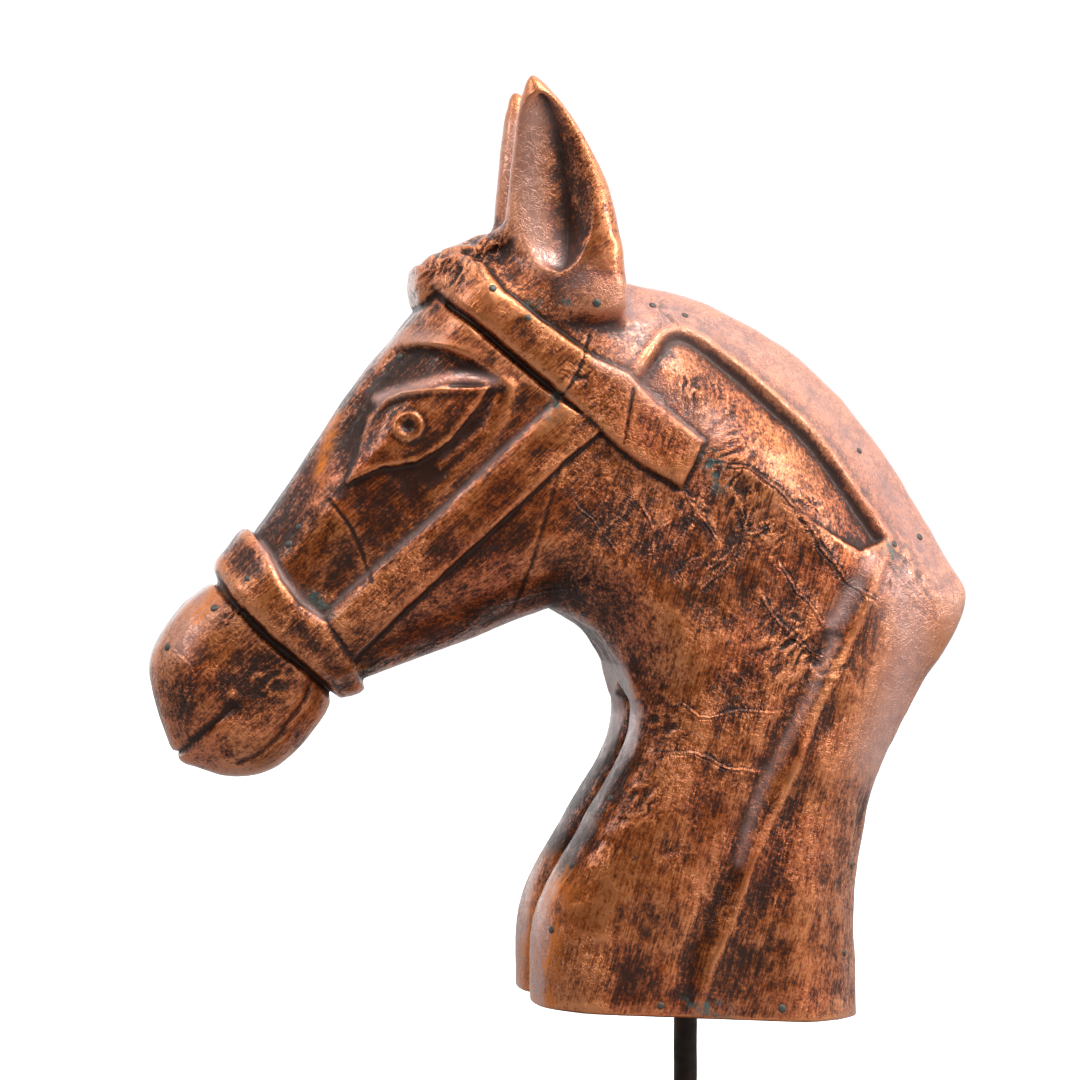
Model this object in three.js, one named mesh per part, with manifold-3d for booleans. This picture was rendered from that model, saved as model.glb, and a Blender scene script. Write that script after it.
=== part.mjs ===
// A carved wooden horse head and neck clad in copper sheet, held up on an iron rod and foot.
// Millimetres, +Z up, the horse facing -X. The origin is the middle of the foot's underside.
import * as THREE from "three";
import { mergeVertices } from "three/addons/utils/BufferGeometryUtils.js";
import Module from "manifold-3d";

const wasm = await Module();
wasm.setup();

// ---- driving dimensions ----
const footLength = 240;
const footWidth = 150;
const footThickness = 12;
const footCornerRadius = 8;
const footBevel = 1.5;
const rodDiameter = 10;
const rodExposed = 86; // between the foot and the head's underside
const rodSides = 32;
const socketDepth = 45; // how far the rod runs up into the head
const gap = 0.3; // left between pieces that touch
const undersideSlope = 0.055; // the block was sawn off a little out of square
const headBase = footThickness + rodExposed; // the head's own zero height, where the rod meets it

const nosebandHeight = 5.5; // how far the bridle's bands stand proud
const browbandHeight = 4;
const cheekHeight = 2.4;
const cheekJoin = 2.6; // the cheekpiece rises by this where it runs into the noseband
const maneStep = 5.5; // the roached mane stands proud of the neck by this
const maneFade = 32; // and the neck comes back to its own level this far below it
const ridgeHeight = 2.2; // on the neck, with a valley in front of it
const valleyDepth = 2.4;
const eyeHeight = 4.6;
const socketHollow = 5;
const browHeight = 3.8;
const mouthDepth = 2.6;
const grooveDepth = 6.5; // down the middle of the chest
const ear = {
  foot: 290, // above the head's own zero height
  root: 14, // how far it runs down into the head
  height: 96,
  spread: 31, // from the middle plane to each ear's own middle
  turn: THREE.MathUtils.degToRad(30), // the hollow looks outwards and forwards
  middle: -56, // the foot's middle along x
  tipForward: 13, // the tip leans forward by this
  halfLength: 27,
  halfDepth: 13,
  hollowMiddle: 51.5,
  hollowHalf: 37,
  hollowFront: 22, // from the hollow's valley to its front rim
  hollowRear: 17,
  hollowDepth: 12,
  valley: 3, // the valley lies this far behind the ear's middle
};

const cell = 2.6; // grid of the first, fine skin
const settling = 2; // rounds of evening out that skin
const headTriangles = 8600; // left after that skin is thinned

// ---- side outline of the head, as [x, z] above the head's own zero height ----
const outline = {
  face: {
    points: [[-198, 178], [-187, 190], [-166, 220], [-145, 253], [-131, 271], [-113, 292]],
    edge: 15,
    reach: 30,
    power: 2,
  },
  poll: {
    points: [[-113, 292], [-104, 304], [-92, 312], [-66, 311], [-48, 306], [-24, 301]],
    edge: 22,
    reach: 24,
    power: 2,
  },
  crest: {
    points: [[-24, 301], [0, 297], [26, 285], [50, 269], [80, 237], [102, 202], [112, 182]],
    edge: 10,
    reach: 60,
    power: 2,
  },
  back: {
    points: [[112, 182], [116, 171], [110, 155], [94, 130], [77, 95], [69, 62], [67, 35], [69, -12]],
    edge: 27,
    reach: 34,
    power: 2,
  },
  base: {
    points: [[69, -12], [-68, -12]],
  },
  chest: {
    points: [[-68, -12], [-69, 24], [-64, 49], [-48, 77], [-32, 105], [-27, 124], [-32, 143]],
    edge: 34,
    reach: 30,
    power: 2,
  },
  throat: {
    points: [[-32, 143], [-42, 157], [-59, 167]],
    edge: 22,
    reach: 30,
    power: 2,
  },
  jaw: {
    points: [[-59, 167], [-75, 161], [-97, 152], [-121, 143], [-148, 133]],
    edge: 13,
    reach: 30,
    power: 2,
  },
  chin: {
    points: [[-148, 133], [-154, 119], [-171, 101], [-188, 96], [-206, 101]],
    edge: 12,
    reach: 26,
    power: 2.6,
  },
  muzzle: {
    points: [[-206, 101], [-215, 107], [-223, 130], [-224, 148], [-212, 167], [-198, 178]],
    edge: 14,
    reach: 28,
    power: 2.6,
  },
};

// half the thickness of the block at places along it: [x, z, half thickness, how far the place counts]
const thickness = [
  [-195, 140, 31, 26],
  [-160, 165, 34, 26],
  [-130, 195, 39, 28],
  [-85, 205, 47, 34],
  [-115, 250, 43, 30],
  [-65, 285, 42, 30],
  [-10, 245, 46, 40],
  [40, 200, 48, 45],
  [20, 110, 54, 45],
  [0, 20, 57, 45],
  [90, 180, 40, 30],
];

// ---- carving on both sides, as [x, z] ----
const noseband = [
  [-203, 222], [-183, 198], [-177, 190], [-172, 179], [-165, 169], [-153, 161], [-143, 147], [-138, 137],
  [-132, 128], [-138, 121], [-145, 127], [-152, 135], [-161, 143], [-177, 156], [-192, 172], [-199, 183],
  [-219, 208],
];
const cheekpiece = [
  [-60, 252], [-84, 229], [-109, 205], [-141, 177], [-155, 163],
  [-143, 146], [-125, 164], [-92, 195], [-59, 226], [-42, 240],
];
const browband = [
  [-90, 309], [-82, 296], [-67, 284], [-45, 269], [-32, 263], [-22, 252], [0, 235],
  [-10, 216], [-26, 225], [-43, 239], [-62, 257], [-80, 272], [-102, 291], [-114, 303], [-104, 316],
];
const bandJoin = [-150, 160]; // the cheekpiece meets the noseband here
const maneEdge = [
  [-29, 261], [-18, 276], [-10, 281], [-1, 279], [16, 267], [33, 252], [50, 236], [67, 213], [79, 195],
];
const manePanel = [...maneEdge, [66, 190], [40, 205], [20, 222], [0, 235], [-14, 247]];
const ridgeLine = [
  [78, 190], [68, 170], [62, 157], [46, 127], [34, 98], [20, 69], [10, 42], [1, 22], [-8, -8],
];
const valleyLine = [[64, 176], [48, 150], [28, 111], [14, 74], [4, 51], [-7, 24], [-12, 0]];
const browRidge = [[-131, 268], [-124, 275], [-112, 275], [-100, 270], [-87, 263]];
const eyeAlmond = [
  [-146, 218], [-141, 231], [-137, 245], [-130, 253], [-124, 256], [-108, 257], [-88, 257],
  [-93, 249], [-104, 235], [-118, 226], [-132, 224],
];
const mouthLine = [[-222, 100], [-211, 109], [-200, 120], [-192, 127]];
const eyeSocket = { middle: [-112, 240], stretch: [1.25, 0.95], reach: 24 };
const forelockSide = [
  [-115, 292], [-117, 300], [-116, 308], [-107, 313], [-88, 321], [-79, 322], [-84, 310], [-92, 299],
  [-101, 291],
];
const forelockHalfWidth = 25;
const chestTop = [128, 150]; // the chest's swellings fade out between these heights
const chestReach = 25; // as far outside the chest as they are measured
const edgeBlend = 9; // over how long one edge's rounding turns into the next
const edgeOverrun = 12; // as far outside the outline as the rounding carries on

// ---- plane geometry ----
function smoothCurve(points, spacing = 2.5) {
  const curve = new THREE.SplineCurve(points.map(([x, z]) => new THREE.Vector2(x, z)));
  const count = Math.max(1, Math.round(curve.getLength() / spacing));
  return curve.getSpacedPoints(count).map((point) => [point.x, point.y]);
}

function segmentDistance(x, z, a, b) {
  const dx = b[0] - a[0];
  const dz = b[1] - a[1];
  const along = THREE.MathUtils.clamp(((x - a[0]) * dx + (z - a[1]) * dz) / (dx * dx + dz * dz), 0, 1);
  return Math.hypot(x - a[0] - along * dx, z - a[1] - along * dz);
}

function lineDistance(x, z, line) {
  let nearest = Infinity;
  for (let i = 1; i < line.length; i += 1) {
    nearest = Math.min(nearest, segmentDistance(x, z, line[i - 1], line[i]));
  }
  return nearest;
}

function contains(x, z, loop) {
  let inside = false;
  for (let i = 0, j = loop.length - 1; i < loop.length; j = i, i += 1) {
    const [xi, zi] = loop[i];
    const [xj, zj] = loop[j];
    if (zi > z !== zj > z && x < ((xj - xi) * (z - zi)) / (zj - zi) + xi) inside = !inside;
  }
  return inside;
}

// how deep a point lies inside a closed loop, negative outside
function depthInside(x, z, loop) {
  const distance = lineDistance(x, z, [...loop, loop[0]]);
  return contains(x, z, loop) ? distance : -distance;
}

function smoothStep(low, high, value) {
  return THREE.MathUtils.smoothstep(value, low, high);
}

function hill(distance, width) {
  return Math.exp(-((distance / width) ** 2));
}

// the greater of two, rounded over where they meet
function roundedMax(a, b, radius) {
  const mix = Math.max(radius - Math.abs(a - b), 0) / radius;
  return Math.max(a, b) + (mix * mix * radius) / 4;
}

function roundedMin(a, b, radius) {
  return -roundedMax(-a, -b, radius);
}

// ---- the head's form ----
const edges = Object.entries(outline).map(
  ([name, edge]) => ({ ...edge, name, line: smoothCurve(edge.points) }),
);
const roundedEdges = edges.filter(({ name }) => name !== "base");
const loop = edges.flatMap((edge) => edge.line.slice(0, -1));
const chestLine = smoothCurve(outline.chest.points);
const curves = {
  noseband,
  cheekpiece,
  browband,
  maneEdge: smoothCurve(maneEdge),
  manePanel,
  ridgeLine: smoothCurve(ridgeLine),
  valleyLine: smoothCurve(valleyLine),
  browRidge: smoothCurve(browRidge),
  eyeAlmond,
  mouthLine,
};

function blockHalfThickness(x, z) {
  let total = 0;
  let weights = 0;
  for (const [px, pz, half, spread] of thickness) {
    const weight = Math.exp(-((x - px) ** 2 + (z - pz) ** 2) / (2 * spread * spread)) + 1e-6;
    total += weight * half;
    weights += weight;
  }
  return total / weights;
}

// half the thickness left once the outline's edge is rounded over
function halfThickness(x, z) {
  const full = blockHalfThickness(x, z);
  const distances = roundedEdges.map(({ line }) => lineDistance(x, z, line));
  const nearest = Math.min(...distances);
  const shares = distances.map((distance) => Math.exp((nearest - distance) / edgeBlend));
  const total = shares.reduce((sum, share) => sum + share, 0);
  const [edge, reach, power] = ["edge", "reach", "power"].map(
    (key) => roundedEdges.reduce((sum, profile, i) => sum + (profile[key] * shares[i]) / total, 0),
  );
  const inside = contains(x, z, loop);
  const inward = inside ? Math.min(nearest / reach, 1) : -Math.min(nearest, edgeOverrun) / reach;
  return edge + (full - edge) * (1 - (1 - inward) ** power);
}

function raised(x, z, band, height) {
  return height * smoothStep(-1.6, 1.6, depthInside(x, z, band));
}

function neckFold(x, z) {
  const ridge = hill(lineDistance(x, z, curves.ridgeLine), 5);
  const valley = hill(lineDistance(x, z, curves.valleyLine), 5.5);
  return ridgeHeight * ridge - valleyDepth * valley;
}

function eye(x, z) {
  const fromSocket = [x, z].map((place, axis) => (place - eyeSocket.middle[axis]) / eyeSocket.stretch[axis]);
  const socket = socketHollow * hill(Math.hypot(...fromSocket), eyeSocket.reach);
  const brow = browHeight * hill(lineDistance(x, z, curves.browRidge), 5);
  return eyeHeight * smoothStep(-1.5, 2.5, depthInside(x, z, curves.eyeAlmond)) + brow - socket;
}

// how far the carving stands proud of the block, or is cut into it
function carving(x, z) {
  const joined = cheekJoin * hill(Math.hypot(x - bandJoin[0], z - bandJoin[1]), 20);
  const bands = Math.max(
    raised(x, z, curves.noseband, nosebandHeight),
    raised(x, z, curves.cheekpiece, cheekHeight + joined),
    raised(x, z, curves.browband, browbandHeight),
  );
  const belowMane = lineDistance(x, z, curves.maneEdge);
  const panel = smoothStep(-1.5, 1.5, depthInside(x, z, curves.manePanel)) * smoothStep(0, 5, belowMane);
  const mane = -maneStep * panel * Math.max(0, 1 - belowMane / maneFade);
  const mouth = -mouthDepth * hill(lineDistance(x, z, curves.mouthLine), 2);
  return bands + mane + neckFold(x, z) + eye(x, z) + mouth;
}

// two pectoral swellings with a groove between them
function chestSetback(y) {
  return grooveDepth * hill(y, 7) + 0.009 * (Math.abs(y) - 24) ** 2;
}

// each ear is a leaf with a gouged hollow; negative inside
function earField(x, y, z) {
  const height = z - ear.foot;
  const up = THREE.MathUtils.clamp(height / ear.height, 0, 1);
  const below = THREE.MathUtils.clamp(-height / ear.root, 0, 1);
  const fore = x - ear.middle + ear.tipForward * up ** 2.5;
  const out = Math.abs(y) - ear.spread + 0.02 * height + 15 * below ** 2;
  const across = fore * Math.cos(ear.turn) + out * Math.sin(ear.turn);
  const through = -fore * Math.sin(ear.turn) + out * Math.cos(ear.turn);
  const halfLength = (ear.halfLength * (1 - up * up) ** 0.76 + 0.3) * (1 - 0.2 * below);
  const halfDepth = ear.halfDepth * (1 - up * up) ** 0.5 + 0.3;
  const leaf = (Math.hypot(across / halfLength, through / halfDepth) - 1) * halfDepth;
  const body = roundedMax(leaf, (through - hollowFloor(height, across, halfLength, halfDepth)) / 1.2, 1);
  return Math.max(body, height - ear.height, -height - ear.root);
}

// the gouged hollow falls straight to its valley from the front and rear rims
function hollowFloor(height, across, halfLength, halfDepth) {
  const rise = (height - ear.hollowMiddle) / ear.hollowHalf;
  const size = Math.max(0, 1 - rise * rise) ** (rise > 0 ? 0.75 : 0.5);
  const fromValley = across - ear.valley;
  const reach = (fromValley < 0 ? ear.hollowFront : ear.hollowRear) * size + 0.01;
  const surface = halfDepth * Math.sqrt(Math.max(0, 1 - (across / halfLength) ** 2));
  return surface - ear.hollowDepth * Math.sqrt(size) * (1 - Math.min(Math.abs(fromValley) / reach, 3));
}

// everything that depends only on the side view, worked out once for each column of the grid
function column(x, z) {
  const depth = depthInside(x, z, loop);
  const fromChest = lineDistance(x, z, chestLine);
  const step = 0.5;
  const half = depth > -12 ? halfThickness(x, z) : 0;
  const slope = depth > -12
    ? Math.hypot(halfThickness(x + step, z) - half, halfThickness(x, z + step) - half) / step
    : 0;
  return {
    depth,
    half,
    steepness: Math.hypot(1, Math.min(slope, 2)),
    proud: depth > -12 ? carving(x, z) : 0,
    chestDepth: depth < 0 && fromChest < chestReach ? -fromChest : fromChest,
    onChest: 1 - smoothStep(...chestTop, z),
    forelock: depthInside(x, z, forelockSide),
  };
}

function headField(x, y, z, side) {
  const sides = (Math.abs(y) - side.half) / side.steepness;
  const chest = (chestSetback(y) - side.chestDepth) * side.onChest - 40 * (1 - side.onChest);
  const block = roundedMax(sides, Math.max(-side.depth, chest), 5) - side.proud;
  const forelock = roundedMax(Math.abs(y) - forelockHalfWidth, -side.forelock, 9);
  const head = roundedMin(block, forelock, 1.5);
  return z > ear.foot - 25 ? roundedMin(head, earField(x, y, z), 5) : head;
}

// a grid square whose inside corners only meet across its diagonal would pinch the skin, so one more goes in
function fillSaddles(values, size, at) {
  const turns = [[[1, 0, 0], [0, 1, 0]], [[1, 0, 0], [0, 0, 1]], [[0, 1, 0], [0, 0, 1]]];
  for (let found = true; found;) {
    found = false;
    for (let i = 0; i < size[0] - 1; i += 1) {
      for (let j = 0; j < size[1] - 1; j += 1) {
        for (let k = 0; k < size[2] - 1; k += 1) {
          for (const [u, v] of turns) {
            const a = at(i, j, k);
            const b = at(i + u[0], j + u[1], k + u[2]);
            const c = at(i + u[0] + v[0], j + u[1] + v[1], k + u[2] + v[2]);
            const d = at(i + v[0], j + v[1], k + v[2]);
            const inside = [a, b, c, d].map((index) => values[index] < 0);
            if (inside[0] !== inside[2] || inside[1] !== inside[3] || inside[0] === inside[1]) continue;
            const outer = inside[0] ? [b, d] : [a, c];
            values[values[outer[0]] < values[outer[1]] ? outer[0] : outer[1]] = -0.05;
            found = true;
          }
        }
      }
    }
  }
}

// ---- skin: one vertex in each grid cell the surface crosses, and a square across each crossed edge ----
function skin(low, high, columnAt, fieldAt) {
  const size = low.map((value, axis) => Math.ceil((high[axis] - value) / cell) + 1);
  const at = (i, j, k) => (i * size[1] + j) * size[2] + k;
  const values = new Float32Array(size[0] * size[1] * size[2]);
  for (let i = 0; i < size[0]; i += 1) {
    for (let k = 0; k < size[2]; k += 1) {
      const x = low[0] + i * cell;
      const z = low[2] + k * cell;
      const side = columnAt(x, z);
      for (let j = 0; j < size[1]; j += 1) {
        values[at(i, j, k)] = fieldAt(x, low[1] + j * cell, z, side);
      }
    }
  }
  fillSaddles(values, size, at);
  const corners = [0, 1, 2, 3, 4, 5, 6, 7].map((n) => [n & 1, (n >> 1) & 1, (n >> 2) & 1]);
  const pairs = [];
  for (let a = 0; a < 8; a += 1) {
    for (const bit of [1, 2, 4]) if (!(a & bit)) pairs.push([a, a | bit]);
  }
  const vertexOf = new Int32Array(values.length).fill(-1);
  const positions = [];
  for (let i = 0; i < size[0] - 1; i += 1) {
    for (let j = 0; j < size[1] - 1; j += 1) {
      for (let k = 0; k < size[2] - 1; k += 1) {
        const around = corners.map(([a, b, c]) => values[at(i + a, j + b, k + c)]);
        const sum = [0, 0, 0];
        let crossings = 0;
        for (const [a, b] of pairs) {
          if (around[a] < 0 === around[b] < 0) continue;
          const along = around[a] / (around[a] - around[b]);
          for (let axis = 0; axis < 3; axis += 1) {
            sum[axis] += corners[a][axis] + along * (corners[b][axis] - corners[a][axis]);
          }
          crossings += 1;
        }
        if (crossings === 0) continue;
        vertexOf[at(i, j, k)] = positions.length;
        positions.push([i, j, k].map((index, axis) => low[axis] + (index + sum[axis] / crossings) * cell));
      }
    }
  }
  const triangles = [];
  for (let i = 1; i < size[0] - 1; i += 1) {
    for (let j = 1; j < size[1] - 1; j += 1) {
      for (let k = 1; k < size[2] - 1; k += 1) {
        const inside = values[at(i, j, k)] < 0;
        const steps = [
          [at(i + 1, j, k), [at(i, j, k), at(i, j - 1, k), at(i, j - 1, k - 1), at(i, j, k - 1)]],
          [at(i, j + 1, k), [at(i, j, k), at(i, j, k - 1), at(i - 1, j, k - 1), at(i - 1, j, k)]],
          [at(i, j, k + 1), [at(i, j, k), at(i - 1, j, k), at(i - 1, j - 1, k), at(i, j - 1, k)]],
        ];
        for (const [next, around] of steps) {
          if (inside === values[next] < 0) continue;
          const [a, b, c, d] = around.map((index) => vertexOf[index]);
          if (inside) triangles.push([a, b, c], [a, c, d]);
          else triangles.push([a, c, b], [a, d, c]);
        }
      }
    }
  }
  return { positions, triangles };
}

// each vertex moves halfway to the middle of its neighbours, which evens out the grid's steps
function settled({ positions, triangles }, rounds) {
  let places = positions;
  for (let round = 0; round < rounds; round += 1) {
    const sums = places.map(() => [0, 0, 0, 0]);
    for (const face of triangles) {
      face.forEach((vertex, n) => {
        const next = places[face[(n + 1) % 3]];
        for (let axis = 0; axis < 3; axis += 1) sums[vertex][axis] += next[axis];
        sums[vertex][3] += 1;
      });
    }
    places = places.map((place, index) => {
      const [x, y, z, count] = sums[index];
      return [x, y, z].map((sum, axis) => (place[axis] + sum / count) / 2);
    });
  }
  return { positions: places, triangles };
}

// ---- thinning: the edge whose loss bends the surface least goes first ----
function planeOf(a, b, c) {
  const u = [b[0] - a[0], b[1] - a[1], b[2] - a[2]];
  const v = [c[0] - a[0], c[1] - a[1], c[2] - a[2]];
  const n = [u[1] * v[2] - u[2] * v[1], u[2] * v[0] - u[0] * v[2], u[0] * v[1] - u[1] * v[0]];
  const length = Math.hypot(...n);
  const unit = n.map((value) => value / (length || 1));
  return { unit, area: length / 2, offset: -(unit[0] * a[0] + unit[1] * a[1] + unit[2] * a[2]) };
}

function bendCost(q, [x, y, z]) {
  return q[0] * x * x + 2 * q[1] * x * y + 2 * q[2] * x * z + 2 * q[3] * x + q[4] * y * y
    + 2 * q[5] * y * z + 2 * q[6] * y + q[7] * z * z + 2 * q[8] * z + q[9];
}

class Heap {
  constructor() {
    this.items = [];
  }

  push(item) {
    const items = this.items;
    let index = items.push(item) - 1;
    while (index > 0) {
      const parent = (index - 1) >> 1;
      if (items[parent].cost <= items[index].cost) break;
      [items[parent], items[index]] = [items[index], items[parent]];
      index = parent;
    }
  }

  pop() {
    const items = this.items;
    const top = items[0];
    const last = items.pop();
    if (items.length === 0) return top;
    items[0] = last;
    let index = 0;
    for (;;) {
      let least = index;
      for (const child of [2 * index + 1, 2 * index + 2]) {
        if (child < items.length && items[child].cost < items[least].cost) least = child;
      }
      if (least === index) return top;
      [items[least], items[index]] = [items[index], items[least]];
      index = least;
    }
  }
}

function thin({ positions, triangles }, target) {
  const quadrics = positions.map(() => new Float64Array(10));
  const facesOf = positions.map(() => new Set());
  triangles.forEach((face, index) => {
    const { unit: [a, b, c], area, offset: d } = planeOf(...face.map((vertex) => positions[vertex]));
    const terms = [a * a, a * b, a * c, a * d, b * b, b * c, b * d, c * c, c * d, d * d];
    for (const vertex of face) {
      terms.forEach((term, n) => { quadrics[vertex][n] += term * area; });
      facesOf[vertex].add(index);
    }
  });
  const version = new Int32Array(positions.length);
  const heap = new Heap();
  const neighbours = (vertex) => {
    const found = new Set();
    for (const face of facesOf[vertex]) triangles[face].forEach((other) => found.add(other));
    found.delete(vertex);
    return found;
  };
  const offer = (a, b) => {
    const q = quadrics[a].map((value, n) => value + quadrics[b][n]);
    const middle = positions[a].map((value, axis) => (value + positions[b][axis]) / 2);
    const places = [middle, positions[a], positions[b]];
    const choices = places.map((place) => ({ place, cost: bendCost(q, place) }));
    const best = choices.reduce((least, choice) => (choice.cost < least.cost ? choice : least));
    const length = Math.hypot(...positions[a].map((value, axis) => value - positions[b][axis]));
    heap.push({ a, b, place: best.place, cost: best.cost + 1e-4 * length, stamp: version[a] + version[b] });
  };
  const staysSound = (vertex, gone, place) => {
    for (const face of facesOf[vertex]) {
      if (triangles[face].includes(gone)) continue;
      const before = planeOf(...triangles[face].map((other) => positions[other]));
      const after = planeOf(...triangles[face].map((other) => (other === vertex ? place : positions[other])));
      const turn = before.unit.reduce((sum, value, axis) => sum + value * after.unit[axis], 0);
      if (turn < 0.3 || after.area < 0.02) return false;
    }
    return true;
  };
  facesOf.forEach((_, vertex) => {
    for (const other of neighbours(vertex)) if (other > vertex) offer(vertex, other);
  });
  let count = triangles.length;
  while (count > target && heap.items.length > 0) {
    const { a, b, place, stamp } = heap.pop();
    if (!facesOf[a].size || !facesOf[b].size || stamp !== version[a] + version[b]) continue;
    const besideA = neighbours(a);
    if (!besideA.has(b)) continue;
    const shared = [...neighbours(b)].filter((vertex) => besideA.has(vertex));
    if (shared.length !== 2 || !staysSound(a, b, place) || !staysSound(b, a, place)) continue;
    positions[a] = place;
    quadrics[b].forEach((value, n) => { quadrics[a][n] += value; });
    for (const face of [...facesOf[b]]) {
      if (triangles[face].includes(a)) {
        for (const vertex of triangles[face]) facesOf[vertex].delete(face);
        triangles[face] = null;
        count -= 1;
      } else {
        triangles[face] = triangles[face].map((vertex) => (vertex === b ? a : vertex));
        facesOf[a].add(face);
      }
    }
    facesOf[b].clear();
    version[a] += 1;
    for (const other of neighbours(a)) {
      version[other] += 1;
    }
    for (const other of neighbours(a)) {
      for (const further of neighbours(other)) if (further !== a) offer(other, further);
      offer(a, other);
    }
  }
  return { positions, triangles: triangles.filter(Boolean) };
}

// ---- solids ----
function geometryOf({ positions, triangles }) {
  const geometry = new THREE.BufferGeometry();
  geometry.setAttribute("position", new THREE.Float32BufferAttribute(positions.flat(), 3));
  geometry.setIndex(triangles.flat());
  return geometry;
}

function solidOf(geometry) {
  const bare = geometry.clone();
  bare.deleteAttribute("normal");
  bare.deleteAttribute("uv");
  const merged = mergeVertices(bare, 1e-4);
  return new wasm.Manifold(new wasm.Mesh({
    numProp: 3,
    vertProperties: new Float32Array(merged.attributes.position.array),
    triVerts: new Uint32Array(merged.index.array),
  }));
}

function geometryFrom(solid) {
  const mesh = solid.getMesh();
  const geometry = new THREE.BufferGeometry();
  geometry.setAttribute("position", new THREE.BufferAttribute(new Float32Array(mesh.vertProperties), 3));
  geometry.setIndex(new THREE.BufferAttribute(new Uint32Array(mesh.triVerts), 1));
  geometry.computeVertexNormals();
  return geometry;
}

// the saw cut across the bottom of the neck
function undersideCut() {
  const depth = 40;
  const block = new THREE.BoxGeometry(260, 200, depth);
  block.translate(0, 0, -depth / 2);
  block.rotateY(Math.atan(undersideSlope));
  return solidOf(block);
}

function rodSocket() {
  const radius = rodDiameter / 2 + gap;
  const height = socketDepth + gap + 20;
  const bore = new THREE.CylinderGeometry(radius, radius, height, rodSides);
  bore.rotateX(Math.PI / 2);
  bore.translate(0, 0, height / 2 - 20);
  return solidOf(bore);
}

function horseHead() {
  const whole = skin([-236, -66, -20], [128, 66, 392], column, headField);
  const block = solidOf(geometryOf(thin(settled(whole, settling), headTriangles)));
  const mesh = new THREE.Mesh(geometryFrom(block.subtract(undersideCut()).subtract(rodSocket())), copper());
  mesh.name = "horse_head";
  mesh.position.z = headBase;
  return mesh;
}

function standRod() {
  const length = rodExposed + socketDepth - gap;
  const geometry = new THREE.CylinderGeometry(rodDiameter / 2, rodDiameter / 2, length, rodSides);
  geometry.rotateX(Math.PI / 2);
  const mesh = new THREE.Mesh(geometry, iron());
  mesh.name = "stand_rod";
  mesh.position.z = footThickness + gap + length / 2;
  return mesh;
}

function standFoot() {
  const halfX = footLength / 2 - footBevel;
  const halfY = footWidth / 2 - footBevel;
  const plate = new THREE.Shape();
  const corners = [[1, 1, 0], [-1, 1, 90], [-1, -1, 180], [1, -1, 270]];
  for (const [sx, sy, start] of corners) {
    const cx = sx * (halfX - footCornerRadius);
    const cy = sy * (halfY - footCornerRadius);
    const from = THREE.MathUtils.degToRad(start);
    plate.absarc(cx, cy, footCornerRadius, from, from + Math.PI / 2);
  }
  const geometry = new THREE.ExtrudeGeometry(plate, {
    depth: footThickness - 2 * footBevel,
    bevelSize: footBevel,
    bevelThickness: footBevel,
    bevelSegments: 2,
    curveSegments: 8,
  });
  const mesh = new THREE.Mesh(geometry, iron());
  mesh.name = "stand_foot";
  mesh.position.z = footBevel;
  return mesh;
}

function copper() {
  return new THREE.MeshStandardMaterial({ color: 0x8f5433, roughness: 0.35, metalness: 1 });
}

function iron() {
  return new THREE.MeshStandardMaterial({ color: 0x29211e, roughness: 0.55, metalness: 0.8 });
}

const horseHeadOnStand = new THREE.Group();
horseHeadOnStand.add(horseHead(), standRod(), standFoot());

export default horseHeadOnStand;
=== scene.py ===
import math
import time
import bmesh
import bpy
import numpy as np
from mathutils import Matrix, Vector
from mathutils.bvhtree import BVHTree


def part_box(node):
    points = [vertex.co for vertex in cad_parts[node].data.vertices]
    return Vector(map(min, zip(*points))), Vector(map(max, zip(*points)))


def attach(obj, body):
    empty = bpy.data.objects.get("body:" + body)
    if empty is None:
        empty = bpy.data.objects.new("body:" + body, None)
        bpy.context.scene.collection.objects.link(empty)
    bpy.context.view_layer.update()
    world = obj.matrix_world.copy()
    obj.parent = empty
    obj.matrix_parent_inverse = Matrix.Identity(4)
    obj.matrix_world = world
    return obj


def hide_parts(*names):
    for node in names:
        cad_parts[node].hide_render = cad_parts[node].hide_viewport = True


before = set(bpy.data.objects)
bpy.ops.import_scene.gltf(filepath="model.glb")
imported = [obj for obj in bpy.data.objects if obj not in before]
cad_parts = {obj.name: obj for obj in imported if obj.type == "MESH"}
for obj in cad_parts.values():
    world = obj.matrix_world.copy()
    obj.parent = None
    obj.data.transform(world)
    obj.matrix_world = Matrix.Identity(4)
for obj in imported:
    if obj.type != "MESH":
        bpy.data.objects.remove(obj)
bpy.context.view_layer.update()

startTime = time.time()
mm = 0.001


def report(stage):
    print(f"{stage}: {time.time() - startTime:.1f} s")


# the carved block, in millimetres: x along the horse, which faces -x, and z up from the underside at the rod
blockSettings = {
    "rodExposed": 86,  # rod between foot and underside
    "undersideSlope": 0.055,
    "grid": 0.85,
    "triangles": 196000,
    "low": (-236, -70, -9),
    "high": (130, 70, 393),
    "cornerRound": 3,
    "edgeBlend": 9,  # over how long one edge profile turns into the next
    "edgeOverrun": 12,  # how far an edge profile runs on outside the outline
    "chestReach": 25,  # how far from the chest's line its front shapes the block
    "chestTop": (128, 150),  # heights over which the chest's front ends
}
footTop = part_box("stand_foot")[1].z / mm
headBase = footTop + blockSettings["rodExposed"]

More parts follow.
